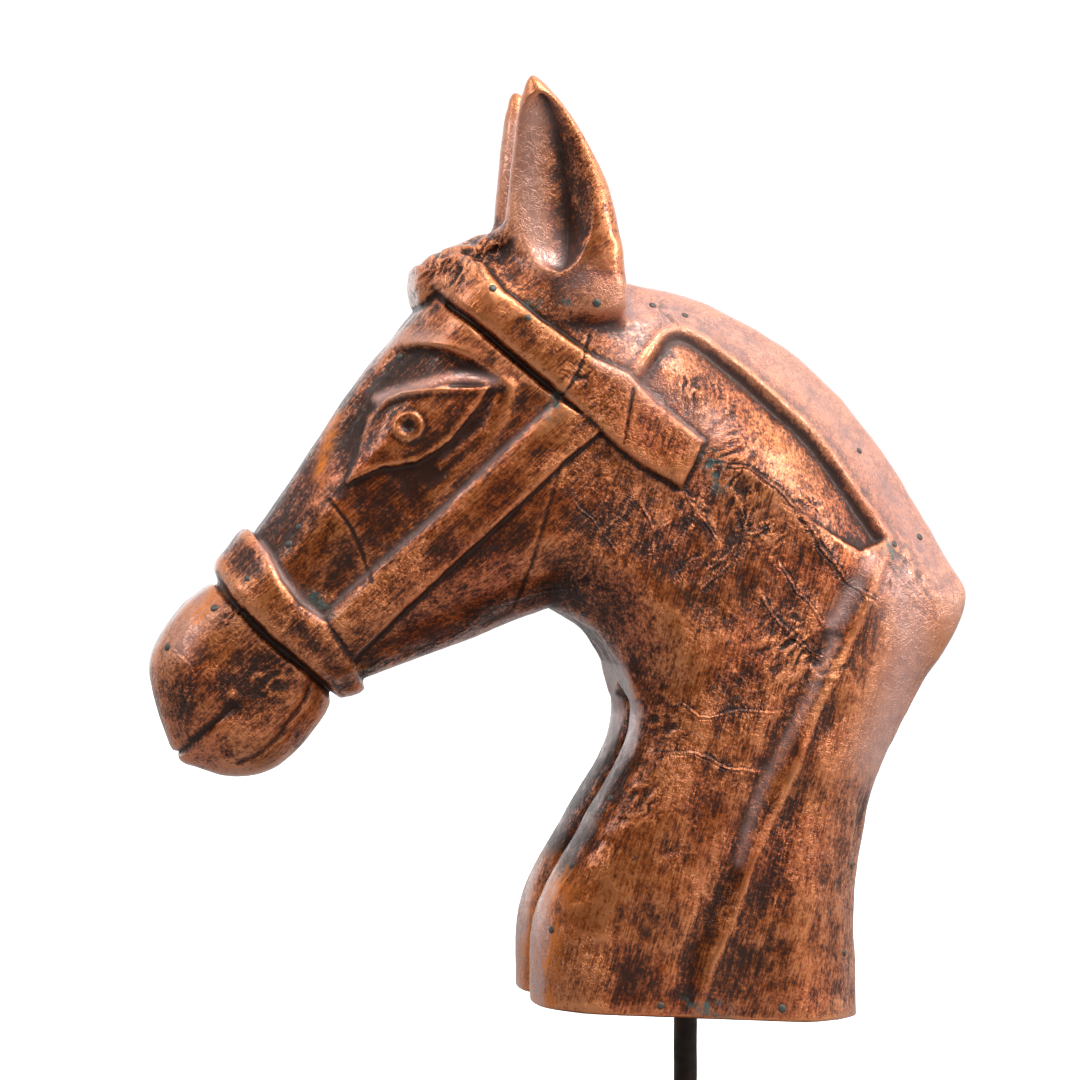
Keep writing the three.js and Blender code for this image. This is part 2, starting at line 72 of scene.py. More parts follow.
# side outline: a curve's points, half thickness left at its edge, how far in it rises to full, how quickly
outline = {
    "face": ([(-198, 178), (-187, 190), (-166, 220), (-145, 253), (-131, 271), (-113, 292)], 15, 30, 2),
    "poll": ([(-113, 292), (-104, 304), (-92, 312), (-66, 311), (-48, 306), (-24, 301)], 22, 24, 2),
    "crest": (
        [(-24, 301), (0, 297), (26, 285), (50, 269), (80, 237), (102, 202), (112, 182)], 10, 60, 2,
    ),
    "back": (
        [(112, 182), (116, 171), (110, 155), (94, 130), (77, 95), (69, 62), (67, 35), (69, -12)], 27, 34, 2,
    ),
    "base": ([(69, -12), (-68, -12)],),  # cut flat, with no edge of its own
    "chest": ([(-68, -12), (-69, 24), (-64, 49), (-48, 77), (-32, 105), (-27, 124), (-32, 143)], 39, 26, 2),
    "throat": ([(-32, 143), (-42, 157), (-59, 167)], 22, 30, 2),
    "jaw": ([(-59, 167), (-75, 161), (-97, 152), (-121, 143), (-148, 133)], 13, 30, 2),
    "chin": ([(-148, 133), (-154, 119), (-171, 101), (-188, 96), (-206, 101)], 12, 26, 2.6),
    "muzzle": ([(-206, 101), (-215, 107), (-223, 130), (-224, 148), (-212, 167), (-198, 178)], 14, 28, 2.6),
}
# half thickness of the block at places along it: x, z, half thickness, how far the place counts
thickness = [
    (-195, 140, 31, 26), (-160, 165, 34, 26), (-130, 195, 39, 28), (-85, 205, 47, 34), (-115, 250, 43, 30),
    (-65, 285, 42, 30), (-10, 245, 46, 40), (40, 200, 48, 45), (20, 110, 54, 45), (0, 20, 57, 45),
    (90, 180, 40, 30),
]
bridle = {
    "nosebandHeight": 5.5,
    "browbandHeight": 4,
    "cheekHeight": 2.4,
    "edge": 0.8,  # half width of a band's edge
    "rounding": 4,  # how far in a band is rounded
    "cheekBevel": 4.5,
    "joinHeight": 2.6,  # extra height where cheekpiece and noseband meet
    "joinRadius": 20,
    "undercut": 2.2,  # dark gap in front of the noseband
    "browUndercut": 1.8,
    "groove": 0.7,  # line beside the other bands
    "junction": (-150, 160),
    "nosebandRear": [
        (-203, 222), (-183, 198), (-177, 190), (-172, 179), (-165, 169), (-153, 161), (-143, 147),
        (-138, 137), (-132, 128),
    ],
    "nosebandFront": [
        (-138, 121), (-145, 127), (-152, 135), (-161, 143), (-177, 156), (-192, 172), (-199, 183),
    ],
    "nosebandEnd": [(-219, 208)],  # past the face's edge
    "cheekUpper": [(-60, 252), (-84, 229), (-109, 205), (-141, 177), (-155, 163)],
    "cheekLower": [(-143, 146), (-125, 164), (-92, 195), (-59, 226), (-42, 240)],
    "browLower": [(-58, 255), (-62, 257), (-80, 272), (-102, 291)],
    "browband": [
        (-90, 309), (-82, 296), (-67, 284), (-45, 269), (-32, 263), (-22, 252), (0, 235),
        (-10, 216), (-26, 225), (-43, 239), (-62, 257), (-80, 272), (-102, 291), (-114, 303), (-104, 316),
    ],
}
mane = {
    "step": 5.5,
    "fade": 32,
    "edge": [
        (-29, 261), (-18, 276), (-10, 281), (-1, 279), (16, 267), (33, 252), (50, 236), (67, 213), (79, 195),
    ],
    "floor": [(66, 190), (40, 205), (20, 222), (0, 235), (-14, 247)],
}
neck = {
    "ridgeLine": [
        (78, 190), (68, 170), (62, 157), (46, 127), (34, 98), (20, 69), (10, 42), (1, 22), (-8, -8),
    ],
    "valleyLine": [(64, 176), (48, 150), (28, 111), (14, 74), (4, 51), (-7, 24), (-12, 0)],
    "ridge": 1.8,
    "valley": 2.4,
}
eye = {
    "almond": [
        (-146, 218), (-141, 231), (-137, 245), (-130, 253), (-124, 256), (-108, 257), (-88, 257),
        (-93, 249), (-104, 235), (-118, 226), (-132, 224),
    ],
    "lid": [(-132, 252), (-122, 256), (-108, 259), (-96, 260), (-86, 258)],
    "brow": [
        (-150, 246), (-146, 257), (-141, 267), (-133, 273), (-123, 276), (-108, 274), (-96, 269), (-84, 261),
    ],
    "fold": [(-80, 257), (-83, 246), (-89, 235), (-100, 224), (-112, 211), (-123, 201)],
    "innerFold": [(-85, 253), (-90, 241), (-98, 233), (-108, 225)],
    "socketCorner": [(-81, 255)],
    "socketFloor": [(-80, 244), (-85, 231), (-96, 218), (-110, 204), (-128, 194), (-150, 198), (-162, 222)],
    "sunk": 4.4,
    "hollow": 2.2,  # softer hollow round the eye
    "ball": 2.4,
    "ballCrown": 1.2,
    "lidHeight": 2.4,
    "browHeight": 0.9,
    "foldHeight": 1.9,
    "innerFoldHeight": 1.1,
    "iris": (-121.5, 241),
    "irisRadius": 6.3,
    "pupilRadius": 2.4,
}
mouth = {
    "slit": [(-222, 100), (-211, 109), (-200, 120), (-192, 127)],
    "cheekSeam": [(-160, 138), (-164, 127), (-179, 109), (-189, 104)],
    "dome": (-192, 132),
}
forelock = {
    "side": [
        (-115, 292), (-117, 300), (-116, 308), (-107, 313), (-88, 321), (-79, 322), (-84, 310), (-92, 299),
        (-101, 291),
    ],
    "halfWidth": 25,
}
ear = {
    "foot": 290,
    "height": 96,
    "spread": 31,
    "turn": math.radians(30),
    "halfLength": 27,
    "halfDepth": 13,
    "root": 9,  # how far the base runs down into the head
    "hollowMiddle": 51.5,
    "hollowHalf": 37,
    "valley": 3,
    "hollowFront": 22,
    "hollowRear": 17,
    "deep": 12,
}


def smoothLine(points, steps=6):
    places = np.array(points, float)
    last = len(places) - 1
    made = []
    for index in range(last):
        before, a = places[max(index - 1, 0)], places[index]
        b, after = places[index + 1], places[min(index + 2, last)]
        t = np.linspace(0, 1, steps, endpoint=False)[:, None]
        startPull, endPull = (b - before) / 2, (after - a) / 2
        made.append(
            (2 * a - 2 * b + startPull + endPull) * t**3
            + (3 * b - 3 * a - 2 * startPull - endPull) * t**2
            + startPull * t + a
        )
    return np.vstack([*made, places[-1:]])


def lineDistance(x, z, line):
    nearest = np.full(x.shape, 1e9)
    for (ax, az), (bx, bz) in zip(line[:-1], line[1:]):
        dx, dz = bx - ax, bz - az
        along = np.clip(((x - ax) * dx + (z - az) * dz) / (dx * dx + dz * dz + 1e-9), 0, 1)
        nearest = np.minimum(nearest, (x - ax - along * dx) ** 2 + (z - az - along * dz) ** 2)
    return np.sqrt(nearest)


def isInside(x, z, loop):
    inside = np.zeros(x.shape, bool)
    for (ax, az), (bx, bz) in zip(loop, np.roll(loop, 1, axis=0)):
        if az != bz:
            inside ^= ((az > z) != (bz > z)) & (x < (bx - ax) * (z - az) / (bz - az) + ax)
    return inside


def depthInside(x, z, loop):
    loop = np.array(loop, float)
    distance = lineDistance(x, z, np.vstack([loop, loop[:1]]))
    return np.where(isInside(x, z, loop), distance, -distance)


def smoothStep(low, high, value):
    t = np.clip((value - low) / (high - low), 0, 1)
    return t * t * (3 - 2 * t)


def hill(distance, width):
    return np.exp(-((distance / width) ** 2))


def bead(x, z, line, width):
    # 1 along a curve through the points, falling off to both sides
    return hill(lineDistance(x, z, smoothLine(line)), width)


def roundedMax(a, b, radius):
    mix = np.maximum(radius - np.abs(a - b), 0) / radius
    return np.maximum(a, b) + mix * mix * radius / 4


def roundedMin(a, b, radius):
    return -roundedMax(-a, -b, radius)


# side view fields, on the grid of columns
def halfThickness(x, z, inside):
    total, weights = np.zeros(x.shape), np.zeros(x.shape)
    for px, pz, half, spread in thickness:
        weight = np.exp(-((x - px) ** 2 + (z - pz) ** 2) / (2 * spread * spread)) + 1e-6
        total += weight * half
        weights += weight
    full = total / weights
    profiles = [values for name, values in outline.items() if name != "base"]
    distances = [lineDistance(x, z, smoothLine(points)) for points, *_ in profiles]
    nearest = np.minimum.reduce(distances)
    shares = [np.exp((nearest - distance) / blockSettings["edgeBlend"]) for distance in distances]
    edge, reach, power = (
        sum(share * profile[n] for share, profile in zip(shares, profiles)) / sum(shares) for n in (1, 2, 3)
    )
    outward = np.minimum(nearest, blockSettings["edgeOverrun"])
    inward = np.where(inside, np.minimum(nearest / reach, 1), -outward / reach)
    return edge + (full - edge) * (1 - (1 - inward) ** power)


def bandRelief(x, z):
    noseband = [*bridle["nosebandRear"], *bridle["nosebandFront"], *bridle["nosebandEnd"]]
    cheekpiece = [*bridle["cheekUpper"], *bridle["cheekLower"]]
    bands = (noseband, cheekpiece, bridle["browband"])
    noseDepth, cheekDepth, browDepth = (depthInside(x, z, band) for band in bands)
    noseRise, cheekRise, browRise = (
        smoothStep(-bridle["edge"], bridle["edge"], depth) for depth in (noseDepth, cheekDepth, browDepth)
    )
    nose = bridle["nosebandHeight"] * noseRise * (0.72 + 0.28 * smoothStep(0, bridle["rounding"], noseDepth))
    fromJunction = np.hypot(x - bridle["junction"][0], z - bridle["junction"][1])
    joined = bridle["joinHeight"] * hill(fromJunction, bridle["joinRadius"])
    bevel = smoothStep(0, bridle["cheekBevel"], lineDistance(x, z, smoothLine(bridle["cheekUpper"])))
    cheek = (bridle["cheekHeight"] + joined) * cheekRise * (0.35 + 0.65 * bevel)
    brow = bridle["browbandHeight"] * browRise * (0.8 + 0.2 * smoothStep(0, 3, browDepth))
    outside = smoothStep(0.5, -0.5, np.maximum(np.maximum(noseDepth, cheekDepth), browDepth))
    frontDistance = lineDistance(x, z, smoothLine(bridle["nosebandFront"]))
    browDistance = lineDistance(x, z, bridle["browLower"])
    groove = bridle["groove"]
    undercut = bridle["undercut"] * hill(frontDistance - 1.4, 1.7) + groove * hill(cheekDepth + 1, 0.9)
    undercut += bridle["browUndercut"] * hill(browDistance - 1.2, 1.6) + groove * hill(browDepth + 1, 0.9)
    return np.maximum(np.maximum(nose, cheek), brow) - undercut * outside


def maneRelief(x, z):
    edgeLine = smoothLine(mane["edge"])
    depth = depthInside(x, z, [*edgeLine, *mane["floor"]])
    distance = lineDistance(x, z, edgeLine)
    wall = smoothStep(-0.6, 5.5, np.where(depth > 0, distance, -distance)) * smoothStep(-1, 1, depth)
    fall = -mane["step"] * wall * np.maximum(0, 1 - distance / mane["fade"])
    return fall + 0.6 * hill(distance - 1.8, 1.4) * (depth < 0)


def neckRelief(x, z):
    fade = smoothStep(198, 176, z) * smoothStep(-5, 30, z)
    sharp, soft = (bead(x, z, neck["ridgeLine"], width) for width in (1.7, 6))
    ridge = neck["ridge"] * (0.6 * sharp + 0.8 * soft)
    return (ridge - neck["valley"] * bead(x, z, neck["valleyLine"], 5.5)) * (0.3 + 0.7 * fade)


def eyeRelief(x, z, depth):
    socketDepth = depthInside(x, z, [*eye["brow"], *eye["socketCorner"], *eye["socketFloor"]])
    fromFloor = lineDistance(x, z, eye["socketFloor"])
    wall = smoothStep(-0.8, 3.2, socketDepth) * smoothStep(0, 26, fromFloor) * smoothStep(1, 12, depth)
    socket = -eye["sunk"] * wall * (0.5 + 0.5 * bead(x, z, eye["brow"], 18))
    socket -= eye["hollow"] * hill(np.hypot((x + 112) / 1.25, (z - 240) / 0.95), 24)
    inFace = smoothStep(1, 13, depth)
    almondDepth = depthInside(x, z, eye["almond"])
    almond = eye["ball"] * smoothStep(-0.9, 0.9, almondDepth)
    almond += eye["ballCrown"] * smoothStep(0, 12, almondDepth)
    almond += 0.5 * hill(almondDepth - 1.6, 1.0)
    lid = eye["lidHeight"] * bead(x, z, eye["lid"], 2.6)
    brow = eye["browHeight"] * bead(x, z, eye["brow"], 4)
    fold = eye["foldHeight"] * smoothStep(198, 226, z) * bead(x, z, eye["fold"], 3.2)
    fold += eye["innerFoldHeight"] * bead(x, z, eye["innerFold"], 2)
    fromIris = np.hypot(x - eye["iris"][0], z - eye["iris"][1])
    ring = 0.7 * hill(fromIris - eye["irisRadius"] + 1.2, 1.1)
    ring = ring - 0.4 * hill(fromIris - eye["irisRadius"] - 0.9, 0.8)
    pupil = -1.5 * smoothStep(0.7, -0.7, fromIris - eye["pupilRadius"])
    return socket + (almond + lid + brow) * inFace + fold + ring + pupil


def mouthRelief(x, z):
    lip = lineDistance(x, z, mouth["slit"])
    notch = hill(np.hypot(x + 220, z - 103), 7)
    slit = -(0.9 + 2.6 * notch) * hill(lip, 1.2)
    corner = -1.6 * hill(lineDistance(x, z, mouth["slit"][1:]), 3)
    seam = lineDistance(x, z, smoothLine(mouth["cheekSeam"]))
    behindSeam = smoothStep(-4, 4, (x + 175) * 0.78 - (z - 118) * 0.62) * smoothStep(26, 8, seam)
    dome = 1.3 * hill(np.hypot(x - mouth["dome"][0], z - mouth["dome"][1]), 2.1)
    return slit + corner - 0.7 * hill(seam, 1) - 0.8 * behindSeam * smoothStep(145, 130, z) + dome


def sideColumns(x, z):
    loop = np.vstack([smoothLine(points)[:-1] for points, *_ in outline.values()])
    depth = depthInside(x, z, loop)
    half = halfThickness(x, z, depth > 0)
    slope = np.hypot(*np.gradient(half, blockSettings["grid"]))
    fromChest = lineDistance(x, z, smoothLine(outline["chest"][0]))
    nearChest = fromChest < blockSettings["chestReach"]
    reliefs = (bandRelief, maneRelief, neckRelief, lambda x, z: eyeRelief(x, z, depth), mouthRelief)
    return {
        "x": x,
        "z": z,
        "depth": depth,
        "half": half,
        "steepness": np.hypot(1, np.minimum(slope, 2)),
        "proud": sum(relief(x, z) for relief in reliefs),
        "chestDepth": np.where(nearChest, fromChest * np.sign(depth), fromChest),
        "onChest": 1 - smoothStep(*blockSettings["chestTop"], z),
        "forelock": depthInside(x, z, forelock["side"]),
    }


def earField(y, side):
    height = side["z"] - ear["foot"]
    up = np.clip(height / ear["height"], 0, 1)
    below = np.clip(-height / ear["root"], 0, 1)
    fore = side["x"] + 56 + 13 * up**2.5
    out = abs(y) - ear["spread"] + 0.02 * height + 15 * below**2
    across = fore * math.cos(ear["turn"]) + out * math.sin(ear["turn"])
    through = -fore * math.sin(ear["turn"]) + out * math.cos(ear["turn"])
    halfLength = (ear["halfLength"] * (1 - up * up) ** 0.76 + 0.3) * (1 - 0.2 * below)
    halfDepth = ear["halfDepth"] * (1 - up * up) ** 0.5 + 0.3
    leaf = (np.hypot(across / halfLength, through / halfDepth) - 1) * halfDepth
    rise = (height - ear["hollowMiddle"]) / ear["hollowHalf"]
    size = np.maximum(0, 1 - rise * rise) ** np.where(rise > 0, 0.75, 0.5)
    fromValley = across - ear["valley"]
    reach = np.where(fromValley < 0, ear["hollowFront"], ear["hollowRear"]) * size + 0.01
    surface = halfDepth * np.sqrt(np.maximum(0, 1 - (across / halfLength) ** 2))
    floor = surface - ear["deep"] * np.sqrt(size) * (1 - np.minimum(np.abs(fromValley) / reach, 3))
    body = roundedMax(leaf, (through - floor) / 1.2, 1)
    return np.maximum(np.maximum(body, height - ear["height"]), -height - ear["root"])


def headSlice(y, side):
    sides = (abs(y) - side["half"]) / side["steepness"]
    setback = 6.5 * hill(y, 7) + 0.009 * (abs(y) - 24) ** 2
    chest = (setback - side["chestDepth"]) * side["onChest"] - 40 * (1 - side["onChest"])
    front = np.maximum(-side["depth"], chest)
    block = roundedMax(sides, front, blockSettings["cornerRound"]) - side["proud"]
    lock = roundedMax(abs(y) - forelock["halfWidth"], -side["forelock"], 13)
    head = roundedMin(block, lock, 1.5)
    head = np.where(side["z"] > 265, roundedMin(head, earField(y, side), 8), head)
    underside = -(side["z"] + blockSettings["undersideSlope"] * side["x"])
    return roundedMax(head, underside, 1.2)


# skin of the field: a vertex in each crossed cell, a square across each crossed edge
def fillSaddles(values):
    turns = [((1, 0, 0), (0, 1, 0)), ((1, 0, 0), (0, 0, 1)), ((0, 1, 0), (0, 0, 1))]
    for _ in range(12):
        found = 0
        for u, v in turns:
            both = tuple(a + b for a, b in zip(u, v))
            spans = []
            for shift in ((0, 0, 0), u, both, v):
                spans.append(tuple(slice(s, None if s or not w else -1) for s, w in zip(shift, both)))
            a, b, c, d = (values[span] < 0 for span in spans)
            for first, second, pinched in ((0, 2, b & d & ~a & ~c), (1, 3, a & c & ~b & ~d)):
                index = np.nonzero(pinched)
                if len(index[0]) == 0:
                    continue
                found += len(index[0])
                one, two = values[spans[first]], values[spans[second]]
                nearer = one[index] < two[index]
                one[tuple(i[nearer] for i in index)] = -0.02
                two[tuple(i[~nearer] for i in index)] = -0.02
        if not found:
            break


def skinOf(values, low, step):
    fillSaddles(values)
    inside = values < 0
    shape = np.array(values.shape) - 1
    cellIds, places, squares = [], [], []
    for axis in range(3):
        first = [slice(None)] * 3
        second = [slice(None)] * 3
        first[axis], second[axis] = slice(None, -1), slice(1, None)
        crossed = np.argwhere(inside[tuple(first)] != inside[tuple(second)])
        following = crossed.copy()
        following[:, axis] += 1
        a, b = values[tuple(crossed.T)], values[tuple(following.T)]
        place = crossed.astype(float)
        place[:, axis] += a / (a - b)
        others = [(axis + 1) % 3, (axis + 2) % 3]
        ring = []
        for du, dv in ((0, 0), (1, 0), (1, 1), (0, 1)):
            cell = crossed.copy()
            cell[:, others[0]] -= du
            cell[:, others[1]] -= dv
            ids = (cell[:, 0] * shape[1] + cell[:, 1]) * shape[2] + cell[:, 2]
            ring.append(ids)
            cellIds.append(ids)
            places.append(place)
        ring = np.stack(ring, 1)
        squares.append(np.where((a < 0)[:, None], ring, ring[:, ::-1]))
    cellIds, places = np.concatenate(cellIds), np.vstack(places)
    unique, inverse = np.unique(cellIds, return_inverse=True)
    count = np.bincount(inverse)
    points = np.stack([np.bincount(inverse, places[:, n]) / count for n in range(3)], 1)
    return points * step + np.array(low), np.searchsorted(unique, np.vstack(squares))


def latticeValue(ix, iy, iz, seed):
    # a whole number hash of the lattice point, from -1 to 1
    h = (ix * 374761393 + iy * 668265263 + iz * 2147483647 + seed * 974634777) & 0xFFFFFFFF
    h = ((h ^ (h >> 13)) * 1274126177) & 0xFFFFFFFF
    return ((h ^ (h >> 16)) & 0xFFFF) / 32767.5 - 1


def noise(places, scale, seed, octaves=1):
    total, amount = 0, 1
    for octave in range(octaves):
        p = places / scale * 2**octave + 1000
        base = np.floor(p).astype(np.int64)
        f = p - base
        f = f * f * f * (f * (f * 6 - 15) + 10)
        value = 0
        for corner in np.ndindex(2, 2, 2):
            weight = np.abs(1 - np.array(corner) - f).prod(1)
            value = value + weight * latticeValue(*(base + corner).T, seed + octave)
        total = total + value * amount
        amount *= 0.5
    return total


# creases and crumpled patches in the sheet
sheet = {
    "dent": 0.45,
    "ripple": 0.12,
    "farShift": (9, -7),  # the far side is crumpled in places of its own
    "creases": [  # pinched lines: points, strength
        ([(4, 219), (-6, 203), (-17, 188)], 0.8),
        ([(14, 209), (17, 195), (7, 183), (-5, 174)], 0.9),
        ([(-57, 212), (-47, 203), (-34, 188)], 0.6),
        ([(-27, 211), (-22, 199), (-23, 184)], 0.6),
        ([(28, 188), (40, 171), (51, 159)], 0.8),
        ([(-11, 215), (-4, 207), (2, 200), (5, 193)], 0.9),
        ([(-2, 182), (8, 188), (17, 196), (30, 202)], 1.0),
        ([(0, 224), (18, 223), (35, 211), (47, 196), (59, 179), (73, 168)], 1.1),
        ([(21, 173), (30, 161), (40, 152), (50, 145)], 1.0),
        ([(-25, 196), (-12, 205)], 0.7),
        ([(-44, 197), (-35, 205), (-27, 214)], 0.8),
        ([(-17, 177), (-9, 182), (0, 190)], 0.6),
        ([(-17, 132), (-2, 122), (14, 125), (31, 124)], 0.7),
        ([(-24, 106), (-5, 108), (9, 102), (22, 100)], 0.9),
        ([(-17, 298), (-15, 286), (-18, 279)], 0.6),
        ([(-15, 291), (1, 288), (11, 282)], 0.5),
        ([(-121, 146), (-101, 154), (-84, 168), (-68, 172), (-43, 177), (-35, 174)], 0.7),
        ([(-219, 151), (-209, 141), (-211, 121), (-211, 110)], 0.5),
        ([(79, 190), (83, 179), (91, 170)], 0.9),
        ([(-150, 136), (-143, 141), (-133, 143), (-124, 148)], 0.9),
    ],
    "seams": [  # where one sheet laps over the next: points, step
        ([(-30, 256), (-34, 234)], 0.7),
        ([(-62, 250), (-53, 262), (-47, 278)], 0.7),
        ([(-153, 211), (-143, 197), (-136, 178)], 0.5),
        ([(-60, 223), (-76, 168)], 0.4),
    ],
    "patches": [  # crumpled: x, z, radius, direction of the folds in degrees, height, fold spacing
        (-3, 252, 11, 75, 2.6, 5.2),
        (9, 234, 12, 20, 0.9, 3.6),
        (14, 216, 14, 60, 0.8, 3.4),
        (42, 205, 11, -35, 0.9, 3.2),
        (26, 197, 9, 30, 0.9, 3.2),
        (-6, 209, 8, -20, 0.8, 3.0),
        (35, 150, 17, 40, 0.9, 3.8),
        (48, 143, 9, 20, 1.0, 3.4),
        (86, 186, 9, -55, 1.2, 3.8),
        (96, 172, 10, -45, 0.6, 3.6),
        (-15, 118, 12, 5, 0.6, 3.2),
        (-27, 89, 14, 50, 0.5, 4.0),
        (-191, 163, 8, 25, 0.8, 3.0),
        (-177, 138, 10, 30, 0.9, 3.2),
        (-104, 308, 12, 60, 2.2, 4.6),
        (-88, 317, 12, 60, 2.2, 4.6),
        (-53, 262, 6, -45, 0.7, 2.8),
        (-20, 250, 8, -10, 0.6, 2.8),
        (-38, 192, 10, 60, 0.5, 3.4),
        (-52, 180, 10, 80, 0.5, 3.4),
    ],
}


def farShift(y):
    return (amount * np.where(y < 0, 0.0, 1.0) for amount in sheet["farShift"])


def sheetRelief(points):
    x, y, z = points.T
    relief = sheet["dent"] * noise(points, 17, 3, 2) + sheet["ripple"] * noise(points, 5, 9, 2)
    warpX = x + 1.6 * noise(points, 7, 21, 2)
    warpZ = z + 1.6 * noise(points, 7, 31, 2)
    sideFacing = smoothStep(12, 24, np.abs(y))
    shiftX, shiftZ = farShift(y)
    for line, height in sheet["creases"]:
        relief += sideFacing * 0.35 * height * bead(warpX - shiftX, warpZ - shiftZ, line, 1.6)
    for line, step in sheet["seams"]:
        relief -= sideFacing * step * bead(x - shiftX * 0.2, z, line, 0.8)
    for px, pz, radius, angle, height, spacing in sheet["patches"]:
        turn = math.radians(angle)
        away = np.hypot(x - px - shiftX, z - pz - shiftZ)
        near = away < radius * 2.2
        place = points[near]
        along = (warpX[near] - px) * math.cos(turn) + (warpZ[near] - pz) * math.sin(turn)
        across = -(warpX[near] - px) * math.sin(turn) + (warpZ[near] - pz) * math.cos(turn)
        broken = np.stack([along * 0.35, place[:, 1] * 0.3, across], 1)
        folds = noise(broken, spacing, int(px * 7 + pz), 2)
        relief[near] += 0.6 * height * hill(away[near] / radius, 0.8) * (1 - 2.2 * np.abs(folds))
    return relief


def vertexNormals(points, quads):
    a, b, c, d = (points[quads[:, n]] for n in range(4))
    faceNormals = np.cross(c - a, d - b)
    normals = np.stack(
        [np.bincount(quads.ravel(), np.repeat(faceNormals[:, n], 4), len(points)) for n in range(3)], 1
    )
    return normals / (np.linalg.norm(normals, axis=1, keepdims=True) + 1e-12)


def neighbourSum(points, a, b):
    return np.stack([np.bincount(a, p[b], len(p)) + np.bincount(b, p[a], len(p)) for p in points.T], 1)


def relaxed(points, quads, rounds):
    a, b = quads.ravel(), np.roll(quads, -1, axis=1).ravel()
    count = np.bincount(a, minlength=len(points)) + np.bincount(b, minlength=len(points))
    for _ in range(rounds):
        points = (points + neighbourSum(points, a, b) / count[:, None]) / 2
    return points


def placed(name, data):
    made = bpy.data.objects.new(name, data)
    bpy.context.scene.collection.objects.link(made)
    return made


def meshFrom(work, name):
    mesh = bpy.data.meshes.new(name)
    work.to_mesh(mesh)
    work.free()
    return mesh


def meshObject(name, points, faces):
    mesh = bpy.data.meshes.new(name)
    mesh.vertices.add(len(points))
    mesh.vertices.foreach_set("co", (points * mm).astype(np.float32).ravel())
    sides = faces.shape[1]
    mesh.loops.add(faces.size)
    mesh.loops.foreach_set("vertex_index", faces.astype(np.int32).ravel())
    mesh.polygons.add(len(faces))
    mesh.polygons.foreach_set("loop_start", np.arange(0, faces.size, sides, dtype=np.int32))
    mesh.update(calc_edges=True)
    mesh.validate()
    return placed(name, mesh)


def thinned(made, triangles):
    count = sum(len(face.vertices) - 2 for face in made.data.polygons)
    reduce = made.modifiers.new("thin", "DECIMATE")
    reduce.ratio = min(1, triangles / count)
    reduce.use_collapse_triangulate = True
    evaluated = made.evaluated_get(bpy.context.evaluated_depsgraph_get())
    made.data, old = bpy.data.meshes.new_from_object(evaluated), made.data
    made.modifiers.clear()
    bpy.data.meshes.remove(old)
    made.data.polygons.foreach_set("use_smooth", [True] * len(made.data.polygons))


def coordinatesOf(mesh):
    co = np.empty(len(mesh.vertices) * 3, np.float32)
    mesh.vertices.foreach_get("co", co)
    return co.reshape(-1, 3).astype(float) / mm


def hollowness(mesh, rounds):
    # how far each vertex lies below the smoothed surface, in millimetres
    points = coordinatesOf(mesh)
    normals = np.empty(len(points) * 3, np.float32)
    mesh.vertices.foreach_get("normal", normals)
    normals = normals.reshape(-1, 3)
    edges = np.empty(len(mesh.edges) * 2, np.int32)
    mesh.edges.foreach_get("vertices", edges)
    a, b = edges.reshape(-1, 2).T
    count = np.bincount(np.r_[a, b], minlength=len(points)) + 1
    smoothed = points
    kept = {}
    for turn in range(max(rounds)):
        smoothed = (smoothed + neighbourSum(smoothed, a, b)) / count[:, None]
        if turn + 1 in rounds:
            kept[turn + 1] = ((smoothed - points) * normals).sum(1)
    return points, normals, [kept[r] for r in rounds]


def storeColour(mesh, name, channels):
    layer = mesh.color_attributes.new(name, "FLOAT_COLOR", "POINT")
    values = np.ones((len(mesh.vertices), 4), np.float32)
    for n, channel in enumerate(channels):
        values[:, n] = channel
    layer.data.foreach_set("color", values.ravel())


def creaseFields(x, z):
    # signed distance from the nearest crease, distance along it and its strength, fading at both ends
    nearest, across, along, strength = (np.full(x.shape, value) for value in (1e9, 9.0, 0.0, 0.0))
    for number, (line, amount) in enumerate(sheet["creases"]):
        places = smoothLine(line)
        steps = np.hypot(*np.diff(places, axis=0).T)
        travelled = np.r_[0, np.cumsum(steps)]
        for (ax, az), (bx, bz), start, length in zip(places[:-1], places[1:], travelled, steps):
            dx, dz = (bx - ax) / length, (bz - az) / length
            px, pz = x - ax, z - az
            on = np.clip(px * dx + pz * dz, 0, length)
            away = np.hypot(px - on * dx, pz - on * dz)
            better = away < nearest
            nearest = np.where(better, away, nearest)
            across = np.where(better, np.sign(px * dz - pz * dx) * away, across)
            along = np.where(better, start + on + 40 * number, along)
            ends = smoothStep(0, 5, start + on) * smoothStep(0, 5, travelled[-1] - start - on)
            strength = np.where(better, amount * ends, strength)
    return across, along, strength * smoothStep(9, 4, nearest)


def foldFields(x, z):
    # place along and across the folds of the nearest crumpled patch, and how crumpled the sheet is there
    along, across, strength = np.zeros(x.shape), np.zeros(x.shape), np.zeros(x.shape)
    for number, (px, pz, radius, angle, height, spacing) in enumerate(sheet["patches"]):
        turn = math.radians(angle)
        dx, dz = x - px, z - pz
        amount = height * hill(np.hypot(dx, dz) / radius, 0.9)
        better = amount > strength
        along = np.where(better, (dx * math.cos(turn) + dz * math.sin(turn)) / spacing + 30 * number, along)
        across = np.where(better, (dz * math.cos(turn) - dx * math.sin(turn)) / spacing, across)
        strength = np.where(better, amount, strength)
    return along, across, strength


